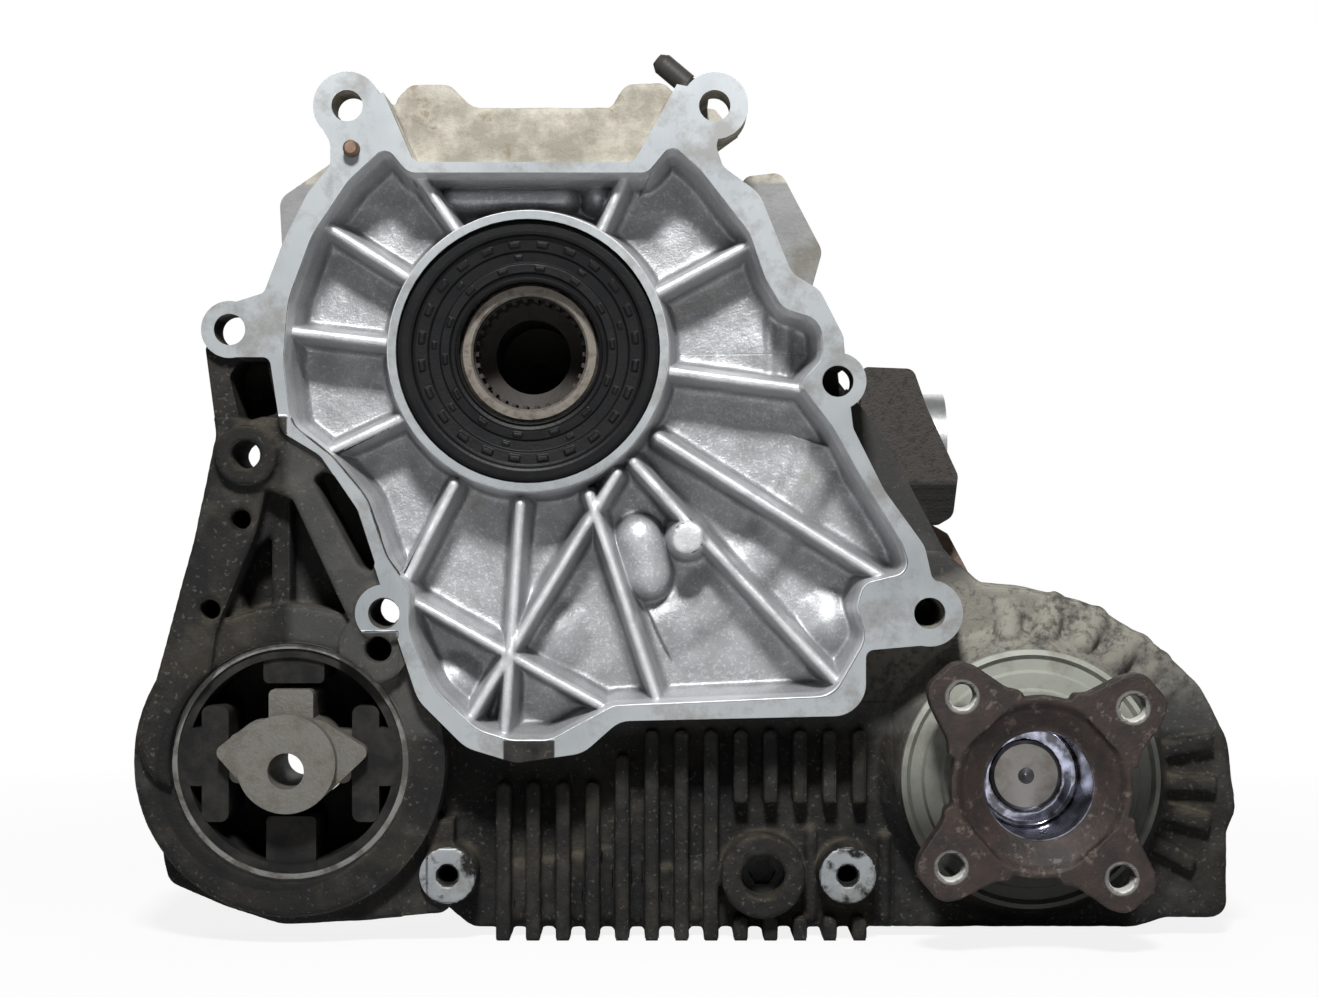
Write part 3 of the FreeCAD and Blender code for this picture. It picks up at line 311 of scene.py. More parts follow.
# Colour of the dark, dusty casting: worn patches, and yellow-brown dirt that lies on ledges.
def darkCast(g):
    worn = g.noise(0.016, 5.0, 0.6).over(0.60, 0.14)
    colour = g.mix(worn * 0.8, finish["dark"], finish["darkWorn"])
    specks = g.noise(0.0016, 2.0, 0.5).over(0.66, 0.06)
    colour = g.mix(specks * 0.45, colour, (0.075, 0.074, 0.071))
    upward = g.facing(2).over(0.25, 0.7)
    patches = g.noise(0.034, 6.0, 0.66).over(0.56, 0.12)
    settled = upward * g.noise(0.012, 5.0, 0.6).over(0.50, 0.2) * 0.6
    dirt = (patches * 0.22).plus(settled)
    return g.mix(dirt * 0.6, colour, finish["dirt"])


# Colour and grain of machined aluminium: a fine milled grain and small stains.
def machined(g, colour):
    grain = g.noise(0.0009, 2.0, 0.5, stretch=(1.0, 1.0, 0.12))
    colour = g.mix(g.noise(0.045, 3.0).over(0.42, 0.25) * 0.6, colour, finish["machinedLight"])
    colour = g.mix(grain * 0.3, colour, (0.40, 0.42, 0.435))
    stains = g.noise(0.021, 6.0, 0.7).over(0.56, 0.14)
    return g.mix(stains * 0.5, colour, finish["machinedStain"]), grain


# Squared distance from the output axis, in square metres.
def outputSquare(g):
    x, y, z = g.xyz
    dx, dz = x - outputX * mm, z - outputZ * mm
    return dx * dx + dz * dz


# One casting: dark below and grey or beige above, with machined faces where it faces forward in their
# planes. A zone is a product of soft steps on x, y and z, in metres.
def housingMaterial(name, front):
    g = Graph(bpy.data.materials.new(name))
    x, y, z = g.xyz
    towards = (g.facing(1) * -1.0).over(0.97, 0.02)
    dark = darkCast(g)
    grey = g.mix(g.noise(0.02, 5.0, 0.6), finish["rearShade"], finish["rearGrey"])
    grey = g.mix(g.noise(0.03, 6.0, 0.65).over(0.58, 0.14) * 0.6, grey, (0.10, 0.088, 0.065))
    if not front:
        low = z.under(-0.075, 0.05)
        colour = g.mix(low, grey, dark)
        splitFace = towards * y.near(0.048, 0.0004)
        colour = g.mix(splitFace * 0.8, colour, (0.40, 0.41, 0.42))
        rough = g.noise(0.01) * 0.2 + 0.6
        return g.close(colour, rough, 0.1, castRelief(g), 0.00035, Specular_IOR_Level=0.2)
    face = towards * y.near(-faceBack * mm, 0.0005)
    darkSide = x.under(-0.0858, 0.001) * z.under(-0.0235, 0.001)
    lowTab = z.under(-0.1392, 0.0008) * x.under(0.0098, 0.0006) * x.over(-0.0085, 0.0006)
    lowSide = x.under(-0.0465, 0.0008) * z.under(-0.1005, 0.001)
    darkSide = (darkSide + lowTab).plus(lowSide)
    face = face * (1 - darkSide)
    bossFace = towards * y.near(-0.017, 0.0004) * (x * x + z * z).under(0.0026, 0.0001)
    screwFace = z.under(-0.17, 0.001) * towards * y.near(-0.0092, 0.0008)
    top = z.over(0.0655, 0.001) * y.over(-0.0205, 0.001)
    beige = g.mix(g.noise(0.013, 6.0, 0.65).over(0.5, 0.2), finish["beige"], finish["beigeShade"])
    beige = g.mix(g.noise(0.009, 5.0, 0.7).over(0.62, 0.1) * 0.8, beige, finish["stain"])
    bell = z.over(-0.139, 0.004) * y.under(0.010, 0.006) * x.over(-0.086, 0.004)
    colour = g.mix(bell * 0.22, dark, (0.12, 0.12, 0.117))
    nose = outputSquare(g).under(0.0058, 0.0012)
    mottle = (g.noise(0.0035, 6.0, 0.72) * 0.7 + g.noise(0.02, 4.0) * 0.3).over(0.46, 0.12)
    nose = nose * z.over(-0.118, 0.03) * (g.facing(2).over(-0.1, 0.7) * 0.5 + 0.5)
    colour = g.mix(nose * (mottle * 0.75 + 0.15), colour, finish["mottle"])
    # Painted shade: the pocket round the mount, behind the machined face, is darkened nearly to black.
    pocketX, pocketZ = x + 0.0903, z + 0.1512
    mountPocketShade = (pocketX * pocketX + pocketZ * pocketZ).under(0.00187, 0.00002)
    mountPocketShade = mountPocketShade * y.over(-0.0212, 0.0004)
    colour = g.mix(mountPocketShade * 0.75, colour, (0.004, 0.004, 0.004))
    behind = y.over(-0.0205, 0.001)
    lugs = behind * z.over(0.012, 0.003) * (x.over(0.058, 0.004) + x.under(-0.062, 0.004))
    colour = g.mix(lugs, colour, grey)
    colour = g.mix(top, colour, beige)
    shine, grain = machined(g, finish["machined"])
    edge = (face + bossFace).plus(screwFace * g.noise(0.006, 4.0).over(0.44, 0.14) * 0.7)
    colour = g.mix(edge, colour, shine)
    rough = 0.78 - edge * 0.38
    relief = castRelief(g) * (1 - edge) + grain * edge * 0.04
    return g.close(colour, rough, edge * 0.62 + 0.03, relief, 0.0004, Specular_IOR_Level=0.18)


# The clean inside of the bell: silver, finely grained, with painted shade in its corners.
def brightCast(name):
    g = Graph(bpy.data.materials.new(name))
    corner = g.attribute("corner")
    colour = g.mix(g.noise(0.011, 5.0, 0.6), finish["brightShade"], finish["bright"])
    glints = g.noise(0.0011, 2.0, 0.6).over(0.60, 0.10)
    colour = g.mix(glints * 0.45, colour, finish["glint"])
    # Faces near the front, the rib crests among them, are lightened in patches: partly wear, partly a
    # painted highlight.
    crestWearAndHighlight = g.xyz[1].under(-0.0105, 0.003) * g.noise(0.010, 4.0).over(0.42, 0.3)
    colour = g.mix(crestWearAndHighlight * 0.6, colour, (0.62, 0.63, 0.635))
    # Painted shade: the corner mask darkens deep walls and fillets just above the floor, in patches.
    cornerShade = corner * g.noise(0.012, 5.0, 0.6).over(0.44, 0.3)
    colour = g.mix(cornerShade * 0.6, colour, finish["cornerShade"])
    brown = g.noise(0.030, 6.0, 0.68).over(0.66, 0.08) * 0.3
    colour = g.mix(brown, colour, (0.20, 0.165, 0.12))
    return g.close(colour, g.noise(0.006) * 0.15 + 0.38, 0.55, castRelief(g, 0.0008, 0.003), 0.00022)


# Plain metal: its colour and a darker one mixed by noise, with stains over an amount of it.
def steel(name, colour, rough, metal=0.85, stain=None, amount=0.4, grain=0.0008, depth=0.00006):
    g = Graph(bpy.data.materials.new(name))
    tone = g.mix(g.noise(0.007, 5.0, 0.6) * 0.5, colour, tuple(c * 0.6 for c in colour))
    if stain:
        tone = g.mix(g.noise(0.008, 6.0, 0.68).over(0.55, 0.16) * amount, tone, stain)
    return g.close(tone, g.noise(0.005) * 0.2 + (rough - 0.1), metal, g.noise(grain, 3.0), depth)


# Surface rust over turned steel, bare on worn edges, with painted shade in the bolt holes and a painted
# reflection on their upward faces.
def rustyFlange(name):
    g = Graph(bpy.data.materials.new(name))
    x, y, z = g.xyz
    blotch = g.noise(0.010, 7.0, 0.7)
    colour = g.mix(blotch.over(0.5, 0.25), finish["rust"], finish["rustDark"])
    colour = g.mix(g.noise(0.0042, 5.0, 0.7).over(0.60, 0.07) * 0.75, colour, finish["rustBare"])
    fromAxis = outputSquare(g).maths("SQRT")
    cup = fromAxis.under(0.0193, 0.0006) * y.over(-0.0365, 0.001)
    # Painted reflection: inside the cup, dark and bluish-bright streaks stand in for mirrored surroundings.
    reflectionStreak = g.noise(0.006, 3.0, 0.5, stretch=(1.0, 0.25, 1.0)).over(0.52, 0.25)
    colour = g.mix(cup, colour, g.mix(reflectionStreak, (0.10, 0.10, 0.115), (0.55, 0.57, 0.70)))
    turn = math.radians(41.3)
    dx, dz = x - outputX * mm, z - outputZ * mm
    along = (dx * math.cos(turn) + dz * math.sin(turn)).maths("ABSOLUTE")
    across = (dz * math.cos(turn) - dx * math.sin(turn)).maths("ABSOLUTE")
    far = along.maths("MAXIMUM", across) - 0.0424  # the screw holes' distance from the axis
    near = along.maths("MINIMUM", across)
    holeShadeAndGlint = (far * far + near * near).maths("SQRT").under(0.0060, 0.0006)
    lowSide = g.facing(2).over(0.15, 0.5)
    # Painted shade darkens round the bolt holes; on their upward faces a painted reflection lightens them.
    colour = g.mix(holeShadeAndGlint * 0.9, colour, (0.012, 0.011, 0.010))
    colour = g.mix(holeShadeAndGlint * lowSide, colour, finish["holeGlint"])
    metal = 0.3 + cup * 0.7
    rough = 0.66 - cup * 0.56
    relief = (blotch * 0.8 + g.noise(0.0013, 3.0) * 0.5) * (1 - cup)
    return g.close(colour, rough, metal, relief, 0.0004)


# Rubber or plastic: one colour under patches of dust.
def rubber(name, colour, rough, dust, shine=0.25):
    g = Graph(bpy.data.materials.new(name))
    tone = g.mix(g.noise(0.012, 6.0, 0.66).over(0.52, 0.2) * dust, colour, (0.07, 0.064, 0.054))
    return g.close(tone, g.noise(0.008) * 0.2 + (rough - 0.1), 0.0, g.noise(0.0012, 3.0), 0.0001,
                   Specular_IOR_Level=shine)


# Fuzzy damping felt: a short, matted pile.
def foam(name):
    g = Graph(bpy.data.materials.new(name))
    z = g.xyz[2]
    tufts = g.noise(0.0022, 5.0, 0.7)
    tone = g.mix(tufts.over(0.3, 0.4), (0.004, 0.0037, 0.0034), (0.050, 0.046, 0.042))
    stripes = (z * 1400.0).maths("SINE").over(0.2, 0.8) * z.under(-0.047, 0.001)
    tone = g.mix(z.under(-0.047, 0.002) * 0.85, tone, (0.008, 0.008, 0.008))
    pile = tufts * 0.8 + g.noise(0.0008, 2.0) * 0.5 + stripes * 0.15
    return g.close(tone, 0.95, 0.0, pile, 0.0012, Specular_IOR_Level=0.15)


# Pale plating, grimy in patches, with painted shade towards its lower edge.
def paleShield(name):
    g = Graph(bpy.data.materials.new(name))
    colour = g.mix(g.noise(0.02, 5.0, 0.6), (0.20, 0.208, 0.182), (0.28, 0.288, 0.255))
    grime = g.noise(0.016, 6.0, 0.7).over(0.56, 0.16)
    colour = g.mix(grime * 0.6, colour, (0.13, 0.118, 0.09))
    # Painted shade: darker towards the bottom, where the shield faces down in the flange's shadow.
    colour = g.mix(g.xyz[2].under(-0.150, 0.045) * 0.93, colour, (0.012, 0.0115, 0.010))
    return g.close(colour, 0.55, 0.0, g.noise(0.003, 4.0), 0.00008, Specular_IOR_Level=0.25)


# Brownish turned steel outside; down in the bore, a reddish rust tone darkened by painted shade.
def shaftMaterial(name):
    g = Graph(bpy.data.materials.new(name))
    x, y, z = g.xyz
    radius = (x * x + z * z).maths("SQRT")
    colour = g.mix(g.noise(0.006, 5.0, 0.6), (0.17, 0.15, 0.125), (0.27, 0.25, 0.22))
    colour = g.mix(g.noise(0.004, 6.0, 0.7).over(0.56, 0.12) * 0.6, colour, (0.08, 0.05, 0.035))
    # Down the bore: a reddish rust tone, darkened nearly to black by painted shade.
    bore = radius.under(0.0210, 0.0004) * y.under(0.10, 0.001) * y.over(-0.0032, 0.0008)
    colour = g.mix(bore * 0.92, colour, (0.0045, 0.0021, 0.0018))
    return g.close(colour, bore * 0.3 + 0.36, 0.75 - bore * 0.45, g.noise(0.0011, 4.0), 0.0001)


looks = {
    "frontCast": housingMaterial("frontCast", True),
    "rearCast": housingMaterial("rearCast", False),
    "brightCast": brightCast("brightCast"),
    "zinc": steel("zinc", (0.50, 0.50, 0.47), 0.42, 0.8, (0.20, 0.16, 0.11), 0.5),
    "zincDark": steel("zincDark", (0.022, 0.022, 0.0215), 0.6, 0.2, (0.010, 0.010, 0.0095), 0.8),
    "pin": steel("pin", (0.24, 0.16, 0.11), 0.5, 0.6, (0.09, 0.05, 0.035), 0.7),
    "bearing": steel("bearing", (0.62, 0.62, 0.62), 0.28, 0.95),
    "can": steel("can", (0.30, 0.31, 0.31), 0.42, 0.8, (0.14, 0.12, 0.09), 0.5),
    "sleeve": steel("sleeve", (0.16, 0.158, 0.15), 0.55, 0.4, (0.05, 0.046, 0.036), 0.9),
    "core": steel("core", (0.115, 0.110, 0.097), 0.55, 0.3, (0.07, 0.06, 0.045), 0.8, 0.0012, 0.00025),
    "chain": steel("chain", (0.24, 0.24, 0.25), 0.35, 0.85),
    "shaft": shaftMaterial("shaft"),
    "turned": steel("turned", (0.40, 0.38, 0.35), 0.36, 0.85, (0.14, 0.09, 0.06), 0.4),
    "rusty": rustyFlange("rusty"),
    "rustyRear": steel("rustyRear", (0.17, 0.115, 0.085), 0.6, 0.4, (0.05, 0.03, 0.024), 0.8,
                       0.0012, 0.0003),
    "rubber": rubber("rubber", (0.0055, 0.0055, 0.0055), 0.65, 0.18, 0.15),
    "sealRubber": rubber("sealRubber", (0.0042, 0.0044, 0.005), 0.45, 0.03, 0.13),
    "plastic": rubber("plastic", (0.022, 0.022, 0.023), 0.48, 0.25),
    "foam": foam("foam"),
    "lining": rubber("lining", (0.14, 0.095, 0.06), 0.8, 0.2),
    "shield": paleShield("shield"),
}
nodeLook = {
    "gearbox_flange": "frontCast", "input_sleeve": "shaft", "drain_plug": "zincDark",
    "bracket_tab": "rustyRear",
    "front_housing": "frontCast", "rear_housing": "rearCast", "case_bolts": "zinc", "dowel_pin": "pin",
    "input_seal": "sealRubber", "main_front_bearing": "bearing", "main_rear_bearing": "bearing",
    "rear_output_seal": "sealRubber", "output_front_bearing": "bearing", "output_rear_bearing": "bearing",
    "front_output_seal": "sealRubber", "servo_motor": "can", "servo_connector": "plastic",
    "motor_wrap": "foam", "mount_sleeve": "sleeve", "mount_rubber": "rubber", "mount_core": "core",
    "filler_plug": "zinc", "breather_pipe": "plastic", "oil_pump_body": "bearing",
    "ramp_support_bearing": "bearing", "drive_chain": "chain", "ramp_balls": "bearing",
    "main_shaft": "shaft", "rear_output_flange": "rustyRear", "rear_flange_nut": "zinc",
    "clutch_hub": "turned", "friction_plates": "lining", "oil_pump_rotor": "bearing",
    "drive_sprocket": "chain", "clutch_basket": "turned", "steel_plates": "bearing",
    "drum_needle_sleeve": "bearing", "front_output_shaft": "turned", "driven_sprocket": "chain",
    "front_output_flange": "rusty", "dust_shield": "shield", "pressure_plate": "turned",
    "ramp_lever_front": "turned", "clutch_thrust_bearing": "bearing", "ramp_lever_rear": "turned",
    "control_cam": "turned", "servo_worm": "turned",
}
for nodeName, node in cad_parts.items():
    chosen = looks[nodeLook.get(nodeName, "zinc")]
    if not node.data.materials:
        node.data.materials.append(chosen)
    for index in range(len(node.data.materials)):
        node.data.materials[index] = chosen


# Inside of the bell
print("bell skin")

bell = {"bossRadius": 50.4, "floor": 31.0, "draft": 8.0, "fillet": 6.0, "ribTop": 8.6, "ribRound": 1.75,
        "around": 1600, "across": 110, "back": 36.2, "pin": (57.5, -67.2), "pinRadius": 6.0,
        # x, z, size and depth of each soft lump
        "lumps": ((25, 57.5, 4.5, 18), (8, -104, 12, 25), (110, -99, 10, 24), (-28, -120, 9, 25)),
        "ridges": (88, 94)}
recess = roundedOutline([
    (-50.5, 73, 4), (-64, 60.5, 12), (-77, 41, 25), (-85.5, 18, 30), (-87.3, -4, 20), (-84.5, -26.5, 8),
    (-70, -38, 20), (-57.5, -53, 20), (-50.5, -74, 15), (-42, -86, 9), (-42.5, -100, 20),
    (-34, -121, 30), (-18, -136, 15), (-6, -139.7, 12), (8, -139.7, 10), (31, -127.2, 8),
    (109.5, -124, 10), (121.5, -103, 10), (118, -92, 8), (120.5, -83.5, 6), (137.5, -79.5, 5),
    (134, -69, 8), (118, -43, 30), (109, -27, 20), (97.5, -12, 4), (105.8, -3, 7), (105, 11, 8),
    (91.5, 14.8, 8), (85, 26, 12), (79.5, 42, 14), (62, 64.5, 20), (51.5, 73.8, 4), (43, 63.4, 5),
    (-42.5, 63.4, 6)], 1.2)
bellRibs = [
    ((-26, 44), (-40, 64)), ((-43, 26.5), (-74, 46)), ((-50, 3.2), (-88, 7.7)), ((-45, -23.5), (-74, -37)),
    ((-27, -48), (-46, -86)), ((-3, -55), (-8.8, -141)), ((22, -52), (47, -127)), ((38, -40), (57, -61)),
    ((61, -65), (113, -121)), ((47, -31), (127, -81)), ((51, -7), (100, -13.5)), ((47, 21.5), (81, 39.5)),
    ((26, 43), (36, 66)), ((32, -44), (-22, -134)), ((-44, -88.5), (31, -130.5)),
]


# Depth beside a wall: top + distance * draft, then a quarter circle of the fillet's radius to the floor.
def drafted(distance, top, floor):
    reach = (floor - bell["fillet"] - top) / bell["draft"]
    turn = np.clip((distance - reach) / bell["fillet"], 0, 1)
    arc = floor - bell["fillet"] + bell["fillet"] * np.sqrt(1 - (1 - turn) ** 2)
    return np.where(distance < reach, top + bell["draft"] * np.maximum(distance, 0), arc)


# Depth of the casting's face from the gearbox face: the least of floor, walls and raised forms.
def bellDepth(x, z):
    radius = np.hypot(x, z)
    angle = np.arctan2(z, x)
    floor = bell["floor"] + 0.5 * waves(x, z, 0 * x, 60, 3)
    swell = 3.2 * np.exp(-((radius - 112) / 9.0) ** 4)
    floor = floor - swell * (np.abs(angle + 0.72) < 0.42) * (radius > 88)
    floor = floor - 2.0 * np.exp(-(np.hypot(x - 88, z) / 12) ** 2)
    depth = drafted(outlineDistance(x, z, recess), 0.8, floor)
    depth = smoothMin(depth, drafted(radius - bell["bossRadius"] - 0.2, 5.5, floor), 3.0)
    for start, end in bellRibs:
        side, along = segmentDistance(x, z, start, end)
        crown = bell["ribRound"]
        top = bell["ribTop"] + 0.25 * np.sin(along * 9.0) + crown
        top = top - np.sqrt(np.maximum(crown ** 2 - side ** 2, 0))
        rib = np.where(side < crown, top, drafted(side - crown, bell["ribTop"] + crown, floor))
        depth = smoothMin(depth, rib, 2.2)
    pin, pinRadius = np.hypot(x - bell["pin"][0], z - bell["pin"][1]), bell["pinRadius"]
    pinWall = drafted(pin - pinRadius, 7.0, floor)
    depth = smoothMin(depth, np.where(pin < pinRadius, 6.3 + 0.6 * (pin / pinRadius) ** 8, pinWall), 0.8)
    blister, _ = segmentDistance(x, z, (40, -68), (43, -81))
    dome = np.where(blister < 8, 10 - np.sqrt(np.maximum(100 - blister ** 2, 0)), 4 + (blister - 8) * 4)
    depth = smoothMin(depth, 18.4 + dome, 2.0)
    bar, _ = segmentDistance(x, z, (-28, 56.5), (12, 56.5))
    depth = smoothMin(depth, 19 + 0.09 * bar ** 2.6, 3.0)
    for bx, bz, size, high in bell["lumps"]:
        lump = np.hypot(x - bx, z - bz) / size
        depth = smoothMin(depth, high + 5 * lump ** 2, 5.0)
    for rx in bell["ridges"]:
        ridge, _ = segmentDistance(x, z, (rx, -10), (rx, 13))
        depth = smoothMin(depth, 27.5 + 0.35 * ridge ** 2, 3.0)
    return depth + 0.12 * waves(x, z, depth, 9, 11)


# How far a ray from the axis runs before it meets the outline.
def rayReach(outline, angles):
    reach = np.zeros(len(angles))
    direction = np.stack([np.cos(angles), np.sin(angles)], axis=-1)
    for k in range(len(outline)):
        start, side = outline[k - 1], outline[k] - outline[k - 1]
        cross = direction[:, 0] * side[1] - direction[:, 1] * side[0]
        with np.errstate(divide="ignore", invalid="ignore"):
            out = (start[0] * side[1] - start[1] * side[0]) / cross
            along = (start[0] * direction[:, 1] - start[1] * direction[:, 0]) / cross
        hit = (np.abs(cross) > 1e-9) & (along >= -1e-6) & (along <= 1 + 1e-6) & (out > reach)
        reach = np.where(hit, out, reach)
    return reach


# Dense rows beside both walls: the share runs as (1 - cos) / 2 mixed with a straight line
step = np.linspace(0, 1, bell["across"])
share = 0.55 * (1 - np.cos(math.pi * step)) / 2 + 0.45 * step


# One closed sector of the skin: the relief in front, flat sides and a flat back before the solid's floor.
def bellSector(name, first, last):
    angles = np.linspace(first, last, int((last - first) / (2 * math.pi) * bell["around"]) + 1)
    outer = rayReach(recess, angles) + 0.35
    radius = (bell["bossRadius"] - 0.3) + np.outer(outer - bell["bossRadius"] + 0.3, share)
    x, z = radius * np.cos(angles)[:, None], radius * np.sin(angles)[:, None]
    depth = bellDepth(x, z)
    rows, columns = x.shape
    front = place(x, depth, z).reshape(-1, 3)
    back = place(x[:, [0, -1]], bell["back"], z[:, [0, -1]]).reshape(-1, 3)
    faces = gridFaces(rows, columns)
    base = rows * columns
    i = np.arange(rows - 1)
    inner = np.stack([i * columns, base + 2 * i, base + 2 * i + 2, (i + 1) * columns], axis=-1)
    rim = i * columns + columns - 1
    outside = np.stack([rim, rim + columns, base + 2 * i + 3, base + 2 * i + 1], axis=-1)
    rear = np.stack([base + 2 * i, base + 2 * i + 1, base + 2 * i + 3, base + 2 * i + 2], axis=-1)
    faces += inner.tolist() + outside.tolist() + rear.tolist()
    faces.append(list(range(columns)) + [base + 1, base])
    lastRow = [rows * columns - 1 - k for k in range(columns)]
    faces.append([base + 2 * rows - 2, base + 2 * rows - 1] + lastRow)
    piece = makePiece(name, np.vstack([front, back]), faces, "case", looks["brightCast"])
    # Where the material paints shade: deep walls and fillets just above the floor.
    corner = np.clip((depth - 20) / 10, 0, 1) * np.clip((bell["floor"] - 0.3 - depth) / 2.5, 0, 1)
    addAttribute(piece, "corner", np.concatenate([corner.ravel(), np.zeros(len(back))]))
    return piece


for number, first in enumerate((0, 120, 240), 1):
    bellSector(f"bell_skin_{number}", math.radians(first), math.radians(first + 120))


# Cast skins over the solids
print("cast skins")


# A loose object with a node's mesh, its coincident points joined.
def solidCopy(name, nodeName):
    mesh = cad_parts[nodeName].data.copy()
    form = bmesh.new()
    form.from_mesh(mesh)
    bmesh.ops.remove_doubles(form, verts=form.verts, dist=2e-6)
    form.to_mesh(mesh)
    form.free()
    return linked(name, mesh)


# What lies in a box of several nodes, side by side in one loose object.
def regionForm(name, nodeNames, low, high):
    form = bmesh.new()
    for nodeName in nodeNames:
        part = cutTo(solidCopy(name, nodeName), low, high)
        form.from_mesh(part.data)
        bpy.data.objects.remove(part)
    mesh = bpy.data.meshes.new(name)
    form.to_mesh(mesh)
    form.free()
    return linked(name, mesh)


# The mesh that a piece's modifiers make; the loose piece is then thrown away.
def evaluated(piece):
    bpy.context.view_layer.update()
    made = bpy.data.meshes.new_from_object(piece.evaluated_get(bpy.context.evaluated_depsgraph_get()))
    bpy.data.objects.remove(piece)
    return made


# Keep what lies in a box, given by its corners in millimetres with depth from the gearbox face.
def cutTo(piece, low, high):
    low, high = place(*low), place(*high)
    box = bpy.data.meshes.new("box")
    x, y, z = zip(low, high)
    points = [(x[i], y[j], z[k]) for i in (0, 1) for j in (0, 1) for k in (0, 1)]
    sides = [(0, 1, 3, 2), (4, 6, 7, 5), (0, 4, 5, 1), (2, 3, 7, 6), (0, 2, 6, 4), (1, 5, 7, 3)]
    box.from_pydata(points, [], sides)
    tool = linked("box", box)
    cut = piece.modifiers.new("cut", "BOOLEAN")
    cut.operation = "INTERSECT"
    cut.solver = "EXACT"
    cut.object = tool
    name = piece.name
    mesh = evaluated(piece)
    bpy.data.objects.remove(tool)
    return linked(name, mesh)


# Points and faces of a round-ended bar between two places in millimetres.
def capsule(start, end, radius, rings=7, sides=14):
    a, b = np.array(start, float), np.array(end, float)
    along = (b - a) / np.linalg.norm(b - a)
    side = np.cross(along, (0.3, 0.5, 0.81))
    side /= np.linalg.norm(side)
    other = np.cross(along, side)
    lean = np.linspace(0.06, math.pi - 0.06, 2 * rings)
    turn = np.linspace(0, 2 * math.pi, sides, endpoint=False)
    ends = np.where(lean[:, None] < math.pi / 2, a, b)
    out = np.cos(turn)[:, None] * side + np.sin(turn)[:, None] * other
    reach = radius * np.cos(lean)[:, None, None] * along
    points = ends[:, None, :] - reach + radius * np.sin(lean)[:, None, None] * out
    faces = gridFaces(2 * rings, sides, wrapColumns=True)
    faces.append(list(range(sides)))
    faces.append([(2 * rings - 1) * sides + k for k in reversed(range(sides))])
    return points.reshape(-1, 3), faces


# The solids' surface in a box, joined with extra forms, remade in small even faces with softened edges,
# and lifted off the solids by skin["cover"] plus noise of skin["rough"], so that they stay just beneath
# it. level gives another lift, where it isn't nan, from the points' places.
def castSkin(name, skin, look="frontCast", body="case", extras=(), level=None):
    piece = regionForm(name, skin["nodes"], skin["low"], skin["high"])
    form = bmesh.new()
    form.from_mesh(piece.data)
    for points, faces in extras:
        extra = bpy.data.meshes.new("extra")
        extra.from_pydata(place(points[:, 0], points[:, 1], points[:, 2]).tolist(), [], faces)
        form.from_mesh(extra)
    form.to_mesh(piece.data)
    form.free()
    remake = piece.modifiers.new("remake", "REMESH")
    remake.mode = "VOXEL"
    remake.voxel_size = skin["grain"] * mm
    ease = piece.modifiers.new("ease", "SMOOTH")
    ease.factor = 0.5
    ease.iterations = 2
    mesh = evaluated(piece)
    count = len(mesh.vertices)
    points, normals = np.empty(count * 3), np.empty(count * 3)
    mesh.vertices.foreach_get("co", points)
    mesh.vertices.foreach_get("normal", normals)
    points, normals = points.reshape(-1, 3), normals.reshape(-1, 3)
    x, y, z = points.T / mm
    rough = skin["rough"]
    lift = skin["cover"] + rough * (1 + waves(x, y, z, 14, 21)) + 0.35 * rough * waves(x, y, z, 3.5, 22)
    if level is not None:
        other = level(x, y + faceBack, z)
        lift = np.where(np.isnan(other), lift, other)
    points = points + normals * lift[:, None] * mm
    points = np.clip(points, np.array(cadBox[0]) + 0.02 * mm, np.array(cadBox[1]) - 0.02 * mm)
    mesh.vertices.foreach_set("co", points.ravel())
    mesh.update()
    made = linked(name, mesh)
    mesh.materials.clear()
    mesh.materials.append(looks[look])
    mesh.polygons.foreach_set("use_smooth", np.ones(len(mesh.polygons), dtype=bool))
    mesh.polygons.foreach_set("material_index", np.zeros(len(mesh.polygons), dtype=np.int32))
    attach(made, body)
    print(name, len(mesh.polygons))
    return made


# A place at an angle and a radius round the output axis.
def outputSpot(angle, radius, depth):
    a = math.radians(angle)
    return (outputX + radius * math.cos(a), depth, outputZ + radius * math.sin(a))


# Low ribs between the fins: x and upper end of each.
sump = {"nodes": ["front_housing"], "low": (-37, 11, -216), "high": (134, 67, -128),
        "grain": 1.0, "cover": 0.32, "rough": 0.16, "ribRadius": 2.0,
        "ribs": ((-4.4, -189), (6.4, -188), (17.3, -186), (28.1, -184), (39, -188), (49.8, -190),
                 (60.7, -190), (103, -176), (130, -178))}
halfRibs = [capsule((x, 29, top), (x, 29.5, -207), sump["ribRadius"]) for x, top in sump["ribs"]]
castSkin("cast_sump", sump, extras=halfRibs)

# Fingers and lumps round the output seal.
nose = {"nodes": ["front_housing"], "low": (133, 9.5, -216), "high": (262, 60, -72),
        "grain": 1.1, "cover": 0.34, "rough": 0.18, "fingers": (97, 82, 67, 52), "fingerRadius": 4.6,
        "lumps": (38, 30), "lumpRadius": 6.5}
noseForms = [capsule(outputSpot(angle, 51, 25), outputSpot(angle - 3, 63, 36), nose["fingerRadius"])
             for angle in nose["fingers"]]
noseForms += [capsule(outputSpot(angle, 56, 34), outputSpot(angle, 63, 36), nose["lumpRadius"])
              for angle in nose["lumps"]]
noseForms += [capsule((246, 44, -158), (253, 46, -161), 4.0)]
castSkin("cast_nose", nose, extras=noseForms)


# The machined rim keeps its crisp solid: there the skin sinks below it.
def besideRim(x, depth, z):
    darkSide = ((x < -85.5) & (z < -23.5)) | ((x < -46) & (z < -100.5))
    return np.where((depth < 0.9) & ~darkSide, -0.5, np.nan)


